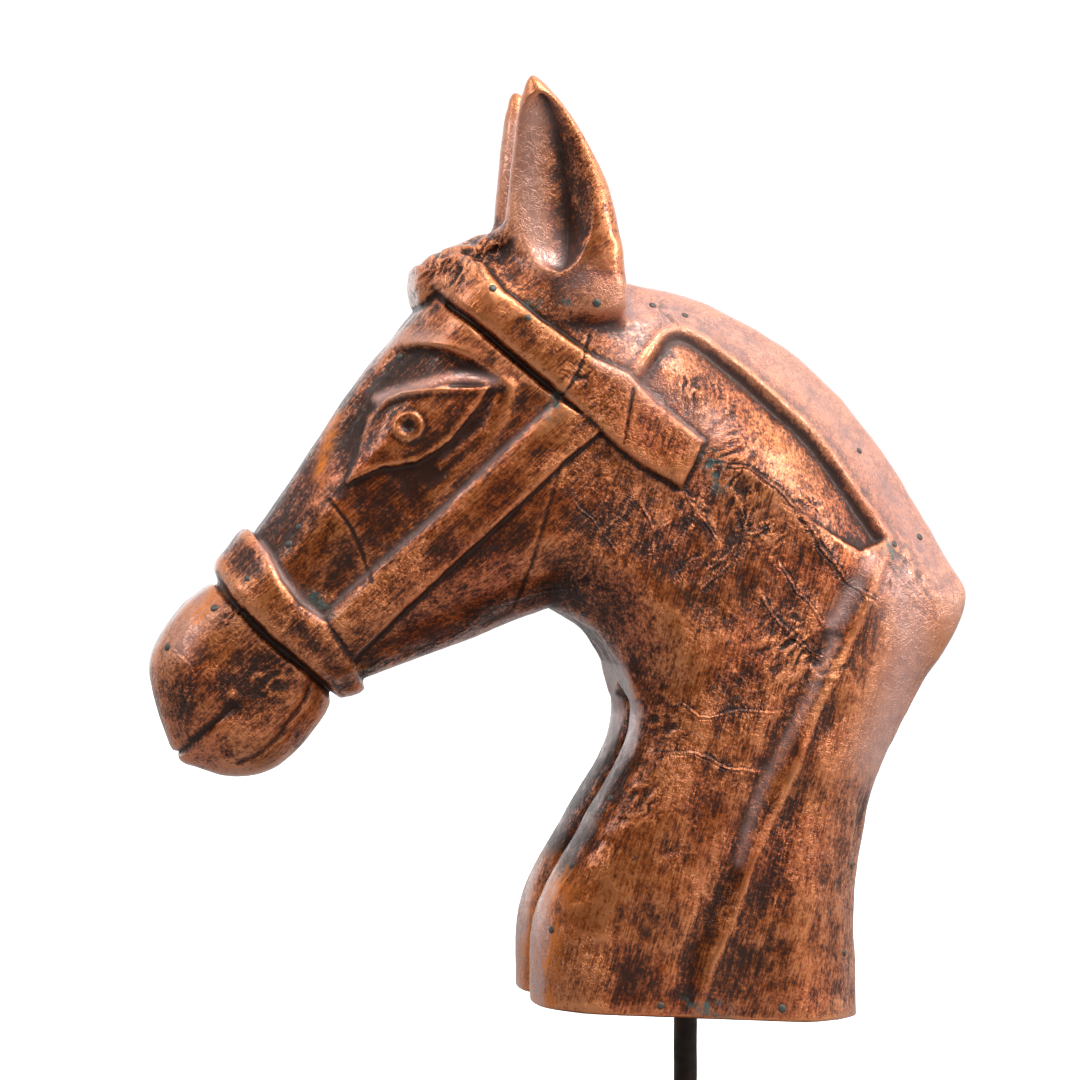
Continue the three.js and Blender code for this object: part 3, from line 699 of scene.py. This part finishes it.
class Nodes:
    # short hand for a node tree, emptied first
    def __init__(self, tree):
        self.tree = tree
        self.tree.nodes.clear()

    def add(self, kind, **settings):
        node = self.tree.nodes.new("ShaderNode" + kind)
        for key, value in settings.items():
            setattr(node, key, value)
        return node

    def feed(self, socket, value):
        if isinstance(value, bpy.types.NodeSocket):
            self.tree.links.new(value, socket)
        else:
            socket.default_value = value

    def joined(self, node, *values):
        for socket, value in zip(node.inputs, values):
            self.feed(socket, value)
        return node.outputs[0]

    def maths(self, operation, a, b=0.0, clamp=False):
        return self.joined(self.add("Math", operation=operation, use_clamp=clamp), a, b)

    def between(self, value, low, high, outLow=0.0, outHigh=1.0):
        node = self.add("MapRange", interpolation_type="SMOOTHSTEP")
        return self.joined(node, value, low, high, outLow, outHigh)

    def mixed(self, amount, a, b, blend="MIX"):
        node = self.add("Mix", data_type="RGBA", blend_type=blend)
        self.feed(node.inputs["Factor"], amount)
        self.feed(node.inputs[6], a)
        self.feed(node.inputs[7], b)
        return node.outputs[2]

    def blended(self, amount, a, b):
        node = self.add("Mix", data_type="FLOAT")
        self.feed(node.inputs["Factor"], amount)
        self.feed(node.inputs[2], a)
        self.feed(node.inputs[3], b)
        return node.outputs[0]

    def parts(self, name):
        source = self.add("Attribute", attribute_name=name)
        split = self.add("SeparateColor")
        self.feed(split.inputs[0], source.outputs["Color"])
        return split.outputs[:3]

    def vector(self, *parts):
        return self.joined(self.add("CombineXYZ"), *parts)

    def ridged(self, value, width):
        return self.between(self.maths("ABSOLUTE", self.maths("SUBTRACT", value, 0.5)), 0.0, width, 1.0, 0.0)

    def summed(self, *terms):
        # adds pairs of value and weight
        total = 0.0
        for value, weight in terms:
            total = self.joined(self.add("Math", operation="MULTIPLY_ADD"), value, weight, total)
        return total

    def coordinates(self, turn=None, size=(1, 1, 1)):
        # object coordinates, or the same turned about y and measured in a grain's own length and width
        source = self.add("TexCoord").outputs["Object"]
        if turn is None:
            return source
        mapping = self.add("Mapping", vector_type="TEXTURE")
        self.feed(mapping.inputs["Vector"], source)
        mapping.inputs["Rotation"].default_value = (0, turn, 0)
        mapping.inputs["Scale"].default_value = size
        return mapping.outputs[0]

    def noise(self, vector, scale, detail=4, roughness=0.6, distortion=0.0):
        node = self.add("TexNoise")
        self.feed(node.inputs["Vector"], vector)
        sizes = {"Scale": scale, "Detail": detail, "Roughness": roughness, "Distortion": distortion}
        for key, value in sizes.items():
            node.inputs[key].default_value = value
        return node.outputs[0]

    def ramp(self, value, stops):
        node = self.add("ValToRGB")
        elements = node.color_ramp.elements
        while len(elements) < len(stops):
            elements.new(0.5)
        for element, (place, colour) in zip(elements, stops):
            element.position = place
            element.color = (*colour, 1)
        self.feed(node.inputs[0], value)
        return node.outputs[0]


class Finish(Nodes):
    # a new material with one shader
    def __init__(self, name):
        self.material = bpy.data.materials.new(name)
        self.material.use_nodes = True
        super().__init__(self.material.node_tree)
        output = self.add("OutputMaterial")
        self.shader = self.add("BsdfPrincipled")
        self.feed(output.inputs[0], self.shader.outputs[0])

    def shade(self, values):
        for name, value in values.items():
            self.feed(self.shader.inputs[name], value)

    def bump(self, socket, height, strength, distance):
        node = self.add("Bump")
        for key, value in (("Height", height), ("Strength", strength), ("Distance", distance)):
            self.feed(node.inputs[key], value)
        self.feed(self.shader.inputs[socket], node.outputs[0])


copperLook = {
    "bright": (0.70, 0.25, 0.085),
    "copper": (0.42, 0.108, 0.022),
    "brown": (0.135, 0.033, 0.009),
    "black": (0.036, 0.012, 0.006),
    # colour of the painted sheen on polished places
    "rosy": (0.60, 0.37, 0.325),
    "warm": (0.46, 0.15, 0.07),  # broad warmer areas
    "orange": (0.75, 0.20, 0.01),
    "verdigris": (0.06, 0.14, 0.13),
    "faceGrain": math.radians(-42),  # about y: brush marks run along the face
    "neckGrain": math.radians(-74),
    "grain": (0.02, 0.0028, 0.0028),  # length and width of a brush mark, metres
    "hair": (0.007, 0.0007, 0.0007),
}


def copperMaterial():
    look = copperLook
    n = Finish("aged copper sheet")
    fine, broad, neckShare = n.parts("relief")
    orange, green, tone = n.parts("stainToneAndSheen")
    # alpha: smoother places painted paler and rosier as a painted sheen
    polishAndSheen = n.add("Attribute", attribute_name="stainToneAndSheen").outputs["Alpha"]
    across, along, pinch = n.parts("crease")
    foldAlong, foldAcross, crumple = n.parts("fold")

    plain = n.coordinates()
    marks = []
    for size in ("grain", "hair"):
        onFace, onNeck = (
            n.noise(n.coordinates(look[turn], look[size]), 1, 4, 0.62, 0.3)
            for turn in ("faceGrain", "neckGrain")
        )
        marks.append(n.blended(neckShare, onFace, onNeck))
    grain, hair = marks
    mottle = n.noise(plain, 42, 6, 0.64, 0.5)
    speck = n.noise(plain, 700, 3, 0.7)
    dents = n.noise(plain, 95, 3, 0.55)
    crinkle = n.ridged(n.noise(plain, 340, 3, 0.62, 1.0), 0.08)
    crinkle = n.maths("MULTIPLY", crinkle, n.between(n.noise(plain, 30, 3), 0.42, 0.62))

    # creases: one pinched ridge with small folds running off both sides
    wander = n.summed((n.noise(plain, 240, 3), 3.0), (1.0, -1.5))
    offLine = n.maths("ABSOLUTE", n.maths("ADD", across, wander))
    pinched = n.summed(
        (n.between(offLine, 0.0, 0.65, 1.0, 0.0), 0.36),
        (n.between(n.maths("ABSOLUTE", n.maths("SUBTRACT", offLine, 1.1)), 0.0, 0.7, 1.0, 0.0), -0.26),
    )
    beside = n.vector(n.maths("MULTIPLY", along, 0.5), n.maths("MULTIPLY", across, 0.14))
    branches = n.ridged(n.noise(beside, 1, 2), 0.1)
    branches = n.maths("MULTIPLY", branches, n.between(n.maths("ABSOLUTE", across), 0.5, 6.0, 1.0, 0.0))
    crease = n.maths("MULTIPLY", n.summed((pinched, 1.0), (branches, 0.36)), pinch)
    # painted shade: darker along both sides of each crease
    creaseShade = n.maths("MULTIPLY", n.between(offLine, 0.4, 3.2, 1.0, 0.0), pinch)
    warp = n.summed((n.noise(plain, 180, 3), 1.6), (foldAcross, 1.7))
    folds = n.ridged(n.noise(n.vector(n.maths("MULTIPLY", foldAlong, 0.55), warp), 1, 3, 0.5, 0.3), 0.11)
    folds = n.maths("MULTIPLY", folds, n.maths("MULTIPLY", crumple, 0.34))
    smooth = n.maths("SUBTRACT", 1.0, n.maths("MULTIPLY", polishAndSheen, 0.6))
    net = n.maths("MULTIPLY", n.ridged(n.noise(plain, 170, 4, 0.6, 1.4), 0.07), polishAndSheen)
    height = n.summed(
        (crease, 1.0), (folds, 1.0), (crinkle, 0.14), (grain, 0.24), (hair, 0.1), (dents, 0.6), (net, 0.3),
    )

    pattern = n.summed((grain, 1.3), (hair, 1.8), (mottle, 0.8), (speck, 1.9), (1.0, -2.9))
    # value for the colour ramp, dark at 1: patina plus painted light; crease, fold and crinkle ridges
    # painted lighter as highlights, crease sides darker as painted shade
    patinaAndPaintedLight = n.summed(
        (n.maths("MULTIPLY", pattern, smooth), 1.0),
        (fine, 1.6), (broad, 0.5), (tone, 1.0), (crease, -0.6), (creaseShade, 0.42), (folds, -0.9), (crumple, 0.12),
        (crinkle, -0.2), (net, 0.14), (polishAndSheen, -0.3), (1.0, -0.46),
    )
    colour = n.ramp(
        n.maths("ADD", patinaAndPaintedLight, 0.0, clamp=True),
        [(0.0, look["bright"]), (0.35, look["copper"]), (0.68, look["brown"]), (1.0, look["black"])],
    )
    rosy = n.between(n.noise(plain, 20, 3), 0.42, 0.7)
    colour = n.mixed(n.maths("MULTIPLY", rosy, 0.3), colour, (*look["warm"], 1), "OVERLAY")
    # painted sheen: paler and rosier on polished and highlighted places
    colour = n.mixed(n.maths("MULTIPLY", polishAndSheen, 0.65), colour, (*look["rosy"], 1))
    orangeShare = n.maths("MULTIPLY", orange, n.between(n.summed((grain, 0.5), (mottle, 0.5)), 0.42, 0.56))
    colour = n.mixed(orangeShare, colour, (*look["orange"], 1))
    greenShare = n.maths("MULTIPLY", green, n.between(n.noise(plain, 260, 5), 0.4, 0.66))
    colour = n.mixed(greenShare, colour, (*look["verdigris"], 1))
    metal = n.between(n.summed((patinaAndPaintedLight, 1.0), (green, 0.6)), 0.2, 1.1, 0.72, 0.25)
    n.shade({
        "Base Color": colour,
        "Metallic": n.summed((metal, 1.0), (polishAndSheen, -0.28)),
        "Roughness": n.between(n.summed((patinaAndPaintedLight, 0.6), (speck, 0.8)), 0.35, 1.0, 0.3, 0.48),
        "Specular IOR Level": 0.2,
        "Coat Weight": n.between(n.summed((patinaAndPaintedLight, 1.0), (polishAndSheen, -0.5)), 0.35, 0.9, 0.95, 0.3),
        "Coat Roughness": 0.1,
        "Coat Tint": (1.0, 0.97, 0.98, 1),
    })
    height = n.maths("MULTIPLY", height, smooth)
    n.bump("Normal", height, 1.0, mm)  # heights above are in millimetres
    n.bump("Coat Normal", height, 1.0, 0.6 * mm)
    return n.material


def ironMaterial(name, colour, rust):
    n = Finish(name)
    plain = n.coordinates()
    blotch = n.between(n.noise(plain, 90, 6, 0.65), 0.5, 0.72)
    n.shade({
        "Base Color": n.mixed(n.maths("MULTIPLY", blotch, rust), (*colour, 1), (0.085, 0.032, 0.016, 1)),
        "Metallic": 0.75,
        "Roughness": n.between(n.noise(plain, 260, 4), 0.3, 0.7, 0.38, 0.62),
    })
    n.bump("Normal", n.noise(plain, 420, 5, 0.6), 0.35, 0.5 * mm)
    return n.material


stains = {  # line, radius
    "orange": [
        ([(-58, 56), (-64, 36), (-66, 8)], 6), ([(-149, 246), (-154, 230), (-158, 212)], 2.5),
        ([(-206, 163), (-198, 172)], 3), ([(-147, 139), (-138, 143)], 1.5),
    ],
    "green": [
        ([(-72, 291), (-52, 291)], 2), ([(-65, 246), (-60, 252)], 4), ([(2, 228), (6, 218)], 4),
        ([(78, 192), (82, 186)], 3), ([(-6, 6), (6, 2)], 4), ([(-160, 172), (-152, 165)], 2.5),
    ],
}
polishAndSheenPlaces = [  # smoother places, painted paler and rosier as a painted sheen: line, radius, amount
    ([(-68, 369), (-70, 355), (-70, 339), (-68, 322), (-63, 311)], 7, 1.0),
    ([(-132, 253), (-122, 256), (-108, 260), (-96, 261), (-86, 260)], 2.2, 0.9),
    ([(-180, 193), (-171, 179), (-157, 164)], 1.8, 0.8),
    ([(-60, 252), (-84, 230), (-109, 206), (-141, 178), (-155, 164)], 1.2, 0.5),
    ([(-45, 267), (-33, 261), (-16, 249), (-1, 236)], 2, 0.7),
    ([(-33, 268), (-24, 259), (-14, 252), (4, 240)], 7, 0.6),
    ([(-25, 290), (0, 289), (33, 271), (63, 243), (84, 214), (99, 187), (112, 166)], 14, 0.75),
    ([(-50, 300), (-34, 292), (-26, 282)], 9, 0.5),
    ([(84, 178), (88, 154), (83, 133), (74, 106)], 12, 0.95),
    ([(71, 187), (62, 173), (54, 161)], 3.5, 0.8),
    ([(54, 154), (43, 131), (32, 111), (21, 89), (13, 64)], 2.2, 0.5),
    ([(-203, 169), (-209, 160), (-213, 152)], 6, 0.7),
    ([(-133, 275), (-123, 278), (-108, 277)], 3, 0.5),
]
tones = [  # darker or lighter places, some marked below as painted shade and painted highlights: line, radius, amount
    ([(-205, 135), (-165, 185), (-125, 230)], 42, 0.17),
    ([(-160, 150), (-120, 175), (-80, 200)], 14, 0.08),
    ([(-199, 206), (-185, 184), (-165, 162), (-144, 138)], 8, 0.2),
    # painted highlight on the front of the ear
    ([(-70, 369), (-71, 340), (-64, 312)], 8, -0.4),
    ([(-64, 20), (-60, 45), (-46, 75), (-30, 105), (-24, 125), (-32, 148)], 7, 0.2),
    ([(-33, 175), (-38, 190), (-52, 178)], 12, 0.22),
    ([(-118, 170), (-90, 190), (-62, 200)], 16, 0.16),
    # painted shade in the hollow below the eye
    ([(-140, 205), (-120, 196), (-100, 205)], 10, 0.15),
    ([(50, 182), (40, 170), (32, 160)], 8, 0.14),
    # painted shade under the brow
    ([(-132, 262), (-118, 266), (-96, 262)], 4, 0.3),
    # painted shadow under the lower lid
    ([(-150, 212), (-128, 214), (-108, 222)], 5, 0.2),
    # painted highlight along the neck's valley
    ([(64, 176), (48, 150), (28, 111), (14, 74), (-7, 24)], 6, -0.14),
    ([(-205, 150), (-210, 128), (-202, 112)], 6, 0.16),
    ([(-170, 140), (-176, 118), (-190, 108)], 5, 0.14),
    ([(-28, 112), (-40, 90), (-56, 60)], 4, 0.2),
    ([(-176, 150), (-150, 142), (-140, 150)], 10, 0.16),
    ([(-60, 10), (0, 4), (66, 0)], 18, 0.2),
    # painted shade under the mane's edge
    ([(-20, 262), (0, 276), (30, 256), (60, 222), (74, 202)], 5, 0.14),
    ([(-60, 292), (-50, 300), (-44, 292)], 8, 0.2),
    ([(-174, 204), (-162, 230), (-146, 256)], 13, 0.38),
    ([(-150, 262), (-138, 274), (-126, 284)], 6, 0.2),
    ([(-55, 356), (-51, 340), (-50, 322), (-54, 306)], 6, 0.35),
    ([(-147, 146), (-125, 154), (-100, 162), (-76, 174), (-59, 176)], 8, 0.24),
    ([(-215, 140), (-195, 120), (-175, 130)], 16, 0.16),
    ([(-30, 130), (-36, 100), (-52, 72), (-64, 44), (-68, 12)], 5, 0.35),
    ([(-20, 225), (10, 205), (34, 190)], 18, -0.1),
    # painted highlights on the ridge's right side and round the strap end
    ([(80, 170), (72, 130), (70, 100)], 10, -0.1),
    ([(-66, 250), (-40, 240), (-20, 228)], 9, -0.08),
]


def carvedHead():
    step = blockSettings["grid"]
    low, high = blockSettings["low"], blockSettings["high"]
    xs, ys, zs = (np.arange(a, b + step, step) for a, b in zip(low, high))
    ys = ys - (ys[0] + ys[-1]) / 2
    x, z = np.meshgrid(xs, zs, indexing="ij")
    side = sideColumns(x, z)
    values = np.empty((len(xs), len(ys), len(zs)), np.float32)
    for j, y in enumerate(ys[: (len(ys) + 1) // 2]):
        values[:, j, :] = headSlice(y, side)
        values[:, len(ys) - 1 - j, :] = values[:, j, :]
    report("field")
    points, quads = skinOf(values, (xs[0], ys[0], zs[0]), step)
    report(f"skin of {len(quads)} squares")
    points = relaxed(points, quads, 2)
    normals = vertexNormals(points, quads)
    underside = points[:, 2] + blockSettings["undersideSlope"] * points[:, 0]
    keepFlat = smoothStep(0.5, 4, underside)
    points = points + normals * (sheetRelief(points) * keepFlat)[:, None]
    points[:, 2] += headBase
    made = meshObject("horse_head_copper", points, quads)
    report("sheet relief")
    thinned(made, blockSettings["triangles"])
    report(f"thinned to {len(made.data.polygons)} triangles")
    return made


def paintHead(made):
    points, normals, (fine, middle, broad) = hollowness(made.data, (2, 8, 40))
    points[:, 2] -= headBase
    x, y, z = points.T
    relief = [
        np.clip(0.5 + 1.1 * fine + 0.4 * middle, 0, 1),
        np.clip(0.5 + 0.3 * broad, 0, 1),
        smoothStep(-70, -20, x + 0.25 * (200 - z)),
    ]
    storeColour(made.data, "relief", relief)
    amounts = []
    for marks in stains.values():
        amount = np.zeros(len(x))
        for line, radius in marks:
            amount = np.maximum(amount, bead(x, z, line, radius))
        amounts.append(amount)
    tone = np.zeros(len(x))
    for line, radius, amount in tones:
        tone += amount * bead(x, z, line, radius)
    # painted reflection: the forward-facing chest front is painted paler and made smoother
    polishAndSheen = smoothStep(0.82, 0.96, -normals[:, 0]) * smoothStep(160, 140, z) * smoothStep(-90, -75, x)
    for line, radius, amount in polishAndSheenPlaces:
        polishAndSheen = np.maximum(polishAndSheen, amount * bead(x, z, line, radius))
    storeColour(made.data, "stainToneAndSheen", [amounts[0], amounts[1] * (y < 0), tone, polishAndSheen])
    warpX = x + 1.4 * noise(points, 8, 21)
    warpZ = z + 1.4 * noise(points, 8, 31)
    shiftX, shiftZ = farShift(y)
    across, along, pinch = creaseFields(warpX - shiftX, warpZ - shiftZ)
    storeColour(made.data, "crease", [across, along, pinch * smoothStep(8, 18, np.abs(y))])
    storeColour(made.data, "fold", foldFields(warpX - shiftX, warpZ - shiftZ))


tackSettings = {
    "places": [  # x, z on each side of the head
        (-87, 297), (-73, 285), (-45, 291), (-123, 270), (-186, 179), (-165, 200), (-169, 193), (-218, 151),
        (-199, 167), (-47, 164), (-32, 141), (-30, 112), (-38, 89), (-41, 84), (-18, 292), (-4, 288),
        (82, 193), (-54, 62), (-63, 36), (70, 232), (96, 196), (64, 60), (60, 24), (-20, 6), (30, 4),
    ],
    "radius": 1.6,
    "height": 0.6,
    "spread": (0.82, 1.12),  # smallest and largest, as a share of the radius
    "segments": 14,
    "rings": 8,
    "seed": 7,
}


def tackTree(material):
    tree = bpy.data.node_groups.new("tack heads", "GeometryNodeTree")
    for name, kind in (("Places", "Geometry"), ("Radius", "Float"), ("Height", "Float"), ("Seed", "Int")):
        tree.interface.new_socket(name, in_out="INPUT", socket_type="NodeSocket" + kind)
    tree.interface.new_socket("Tacks", in_out="OUTPUT", socket_type="NodeSocketGeometry")
    add = tree.nodes.new
    link = tree.links.new
    given, result = add("NodeGroupInput"), add("NodeGroupOutput")
    head = add("GeometryNodeMeshUVSphere")
    head.inputs["Segments"].default_value = tackSettings["segments"]
    head.inputs["Rings"].default_value = tackSettings["rings"]
    link(given.outputs["Radius"], head.inputs["Radius"])
    ratio = add("ShaderNodeMath")
    ratio.operation = "DIVIDE"
    link(given.outputs["Height"], ratio.inputs[0])
    link(given.outputs["Radius"], ratio.inputs[1])
    flat = add("ShaderNodeCombineXYZ")
    flat.inputs[0].default_value = flat.inputs[1].default_value = 1
    link(ratio.outputs[0], flat.inputs[2])
    squash = add("GeometryNodeTransform")
    link(head.outputs["Mesh"], squash.inputs["Geometry"])
    link(flat.outputs[0], squash.inputs["Scale"])
    facing = add("GeometryNodeInputNamedAttribute")
    facing.data_type = "FLOAT_VECTOR"
    facing.inputs["Name"].default_value = "facing"
    align = add("FunctionNodeAlignRotationToVector")
    align.axis = "Z"
    link(facing.outputs["Attribute"], align.inputs["Vector"])
    spread = add("FunctionNodeRandomValue")
    spread.data_type = "FLOAT"
    spread.inputs[2].default_value, spread.inputs[3].default_value = tackSettings["spread"]
    link(given.outputs["Seed"], spread.inputs["Seed"])
    place = add("GeometryNodeInstanceOnPoints")
    link(given.outputs["Places"], place.inputs["Points"])
    link(squash.outputs["Geometry"], place.inputs["Instance"])
    link(align.outputs["Rotation"], place.inputs["Rotation"])
    link(spread.outputs[1], place.inputs["Scale"])
    real = add("GeometryNodeRealizeInstances")
    link(place.outputs["Instances"], real.inputs["Geometry"])
    smooth = add("GeometryNodeSetShadeSmooth")
    link(real.outputs[0], smooth.inputs["Geometry"])
    paint = add("GeometryNodeSetMaterial")
    paint.inputs["Material"].default_value = material
    link(smooth.outputs[0], paint.inputs["Geometry"])
    link(paint.outputs[0], result.inputs[0])
    return tree


def tackHeads(head, material):
    surface = BVHTree.FromObject(head, bpy.context.evaluated_depsgraph_get())
    places, facings = [], []
    for x, z in tackSettings["places"]:
        for side in (-1, 1):
            start = Vector((x * mm, side * 0.2, (z + headBase) * mm))
            hit, normal, _, _ = surface.ray_cast(start, Vector((0, -side, 0)))
            if hit is not None:
                places.append(hit)
                facings.append(normal)
    mesh = bpy.data.meshes.new("tack_heads")
    mesh.from_pydata(places, [], [])
    facing = mesh.attributes.new("facing", "FLOAT_VECTOR", "POINT")
    facing.data.foreach_set("vector", [part for normal in facings for part in normal])
    made = placed("tack_heads", mesh)
    tree = tackTree(material)
    modifier = made.modifiers.new("tacks", "NODES")
    modifier.node_group = tree
    sizes = {
        "Radius": tackSettings["radius"] * mm,
        "Height": tackSettings["height"] * mm,
        "Seed": tackSettings["seed"],
    }
    for socket in tree.interface.items_tree:
        if socket.name in sizes and socket.in_out == "INPUT":
            modifier[socket.identifier] = sizes[socket.name]
    evaluated = made.evaluated_get(bpy.context.evaluated_depsgraph_get())
    made.data = bpy.data.meshes.new_from_object(evaluated)
    made.modifiers.clear()
    return made


standSettings = {
    "rodSides": 64,
    "rodRings": 24,
    "waver": 0.012,  # how uneven the forged rod is, as a share of its radius
    "footCorner": 8,
    "footBevel": 1.5,
    "sharpAngle": math.radians(40),
}


def standRod():
    low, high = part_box("stand_rod")
    radius = (high.x - low.x) / 2
    work = bmesh.new()
    rings, sides = standSettings["rodRings"], standSettings["rodSides"]
    for ring in range(rings + 1):
        height = low.z + (high.z - low.z) * ring / rings
        for n in range(sides):
            angle = 2 * math.pi * n / sides
            worn = radius * (1 - standSettings["waver"] * (1 + math.sin(3 * angle + ring * 1.7)))
            work.verts.new((worn * math.cos(angle), worn * math.sin(angle), height))
    work.verts.ensure_lookup_table()
    for ring in range(rings):
        for n in range(sides):
            a, b = ring * sides + n, ring * sides + (n + 1) % sides
            work.faces.new([work.verts[i] for i in (a, b, b + sides, a + sides)]).smooth = True
    work.faces.new([work.verts[n] for n in reversed(range(sides))])
    work.faces.new([work.verts[rings * sides + n] for n in range(sides)])
    return placed("iron_rod", meshFrom(work, "iron_rod"))


def standFoot():
    low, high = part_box("stand_foot")
    work = bmesh.new()
    bmesh.ops.create_cube(work, size=1)
    for vert in work.verts:
        for axis in range(3):
            vert.co[axis] = low[axis] + (vert.co[axis] + 0.5) * (high[axis] - low[axis])
    for upright, size, segments, profile in ((True, "footCorner", 8, 0.5), (False, "footBevel", 4, 0.6)):
        edges = [
            edge for edge in work.edges if (abs(edge.verts[0].co.z - edge.verts[1].co.z) > 1e-5) == upright
        ]
        offset = standSettings[size] * mm
        bmesh.ops.bevel(work, geom=edges, offset=offset, segments=segments, profile=profile, affect="EDGES")
    mesh = meshFrom(work, "iron_foot")
    for face in mesh.polygons:
        face.use_smooth = True
    mesh.set_sharp_from_angle(angle=standSettings["sharpAngle"])
    return placed("iron_foot", mesh)


studio = {
    "aim": (-0.0619, 0, 0.2927),
    "distance": 1.45,
    "turn": math.radians(7.5),
    "lens": 115.1,
    "sensor": 36,
    "floorRadius": 6,
    "boxes": [  # name, place, size, power
        ("left box", (-1.0, -0.35, 1.15), (0.4, 0.6), 3),
        ("right box", (1.25, -0.75, 0.95), (0.45, 0.6), 8),
        ("top box", (0.3, -0.5, 1.4), (0.8, 0.5), 9),
    ],
    "boxAim": (-0.04, 0, 0.3),
    "upRight": (0.52, -0.12, 0.85),  # where the sky is brightest
}


def studioCamera():
    camera = bpy.data.cameras.new("camera")
    camera.lens = studio["lens"]
    camera.sensor_width = studio["sensor"]
    made = placed("camera", camera)
    back = Vector((-math.sin(studio["turn"]), -math.cos(studio["turn"]), 0))
    made.location = Vector(studio["aim"]) + back * studio["distance"]
    made.rotation_euler = (-back).to_track_quat("-Z", "Y").to_euler()
    bpy.context.scene.camera = made


def softBox(name, place, size, power):
    light = bpy.data.lights.new(name, "AREA")
    light.shape = "RECTANGLE"
    light.size, light.size_y = size
    light.energy = power
    made = placed(name, light)
    made.location = place
    made.rotation_euler = (Vector(studio["boxAim"]) - Vector(place)).to_track_quat("-Z", "Y").to_euler()


def studioRoom():
    world = bpy.data.worlds.new("studio")
    bpy.context.scene.world = world
    world.use_nodes = True
    sky = Nodes(world.node_tree)
    around = sky.add("TexCoord").outputs["Generated"]
    split = sky.add("SeparateXYZ")
    sky.feed(split.inputs[0], around)
    towards = sky.add("VectorMath", operation="DOT_PRODUCT")
    sky.feed(towards.inputs[0], around)
    sky.feed(towards.inputs[1], studio["upRight"])
    brightness = 0.0
    for value, span in (
        (split.outputs["Y"], (-0.35, 0.5, 0.05, 1.1)),
        (towards.outputs["Value"], (0.25, 0.85, 0.0, 1.5)),
    ):
        brightness = sky.maths("MAXIMUM", brightness, sky.joined(sky.add("MapRange"), value, *span))
    seen = sky.maths("MAXIMUM", brightness, sky.add("LightPath").outputs["Is Camera Ray"])
    back = sky.add("Background")
    sky.feed(back.inputs["Color"], (1, 1, 1, 1))
    sky.feed(back.inputs["Strength"], seen)
    sky.feed(sky.add("OutputWorld").inputs[0], back.outputs[0])

    for box in studio["boxes"]:
        softBox(*box)

    work = bmesh.new()
    bmesh.ops.create_circle(work, cap_ends=True, segments=96, radius=studio["floorRadius"])
    floor = placed("floor", meshFrom(work, "floor"))
    n = Finish("pale floor")
    seen = n.add("LightPath").outputs["Is Camera Ray"]
    n.shade({
        "Base Color": n.mixed(seen, (0.3, 0.3, 0.3, 1), (0.85, 0.85, 0.85, 1)),
        "Roughness": 0.7,
        "Emission Color": (1, 1, 1, 1),
        "Emission Strength": n.maths("MULTIPLY", seen, 0.75),
    })
    floor.data.materials.append(n.material)
    bpy.context.scene.view_settings.view_transform = "Standard"


studioCamera()
studioRoom()
report("studio")

copper = copperMaterial()
blackIron = ironMaterial("black iron", (0.035, 0.026, 0.022), 0.7)
tackIron = ironMaterial("dull tack iron", (0.11, 0.11, 0.10), 0.5)

head = carvedHead()
paintHead(head)
head.data.materials.clear()
head.data.materials.append(copper)
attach(head, "root")
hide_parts("horse_head")
report("head")

tacks = tackHeads(head, tackIron)
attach(tacks, "root")
report("tacks")

for make, node in ((standRod, "stand_rod"), (standFoot, "stand_foot")):
    piece = make()
    piece.data.materials.append(blackIron)
    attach(piece, "root")
    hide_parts(node)
report("stand")
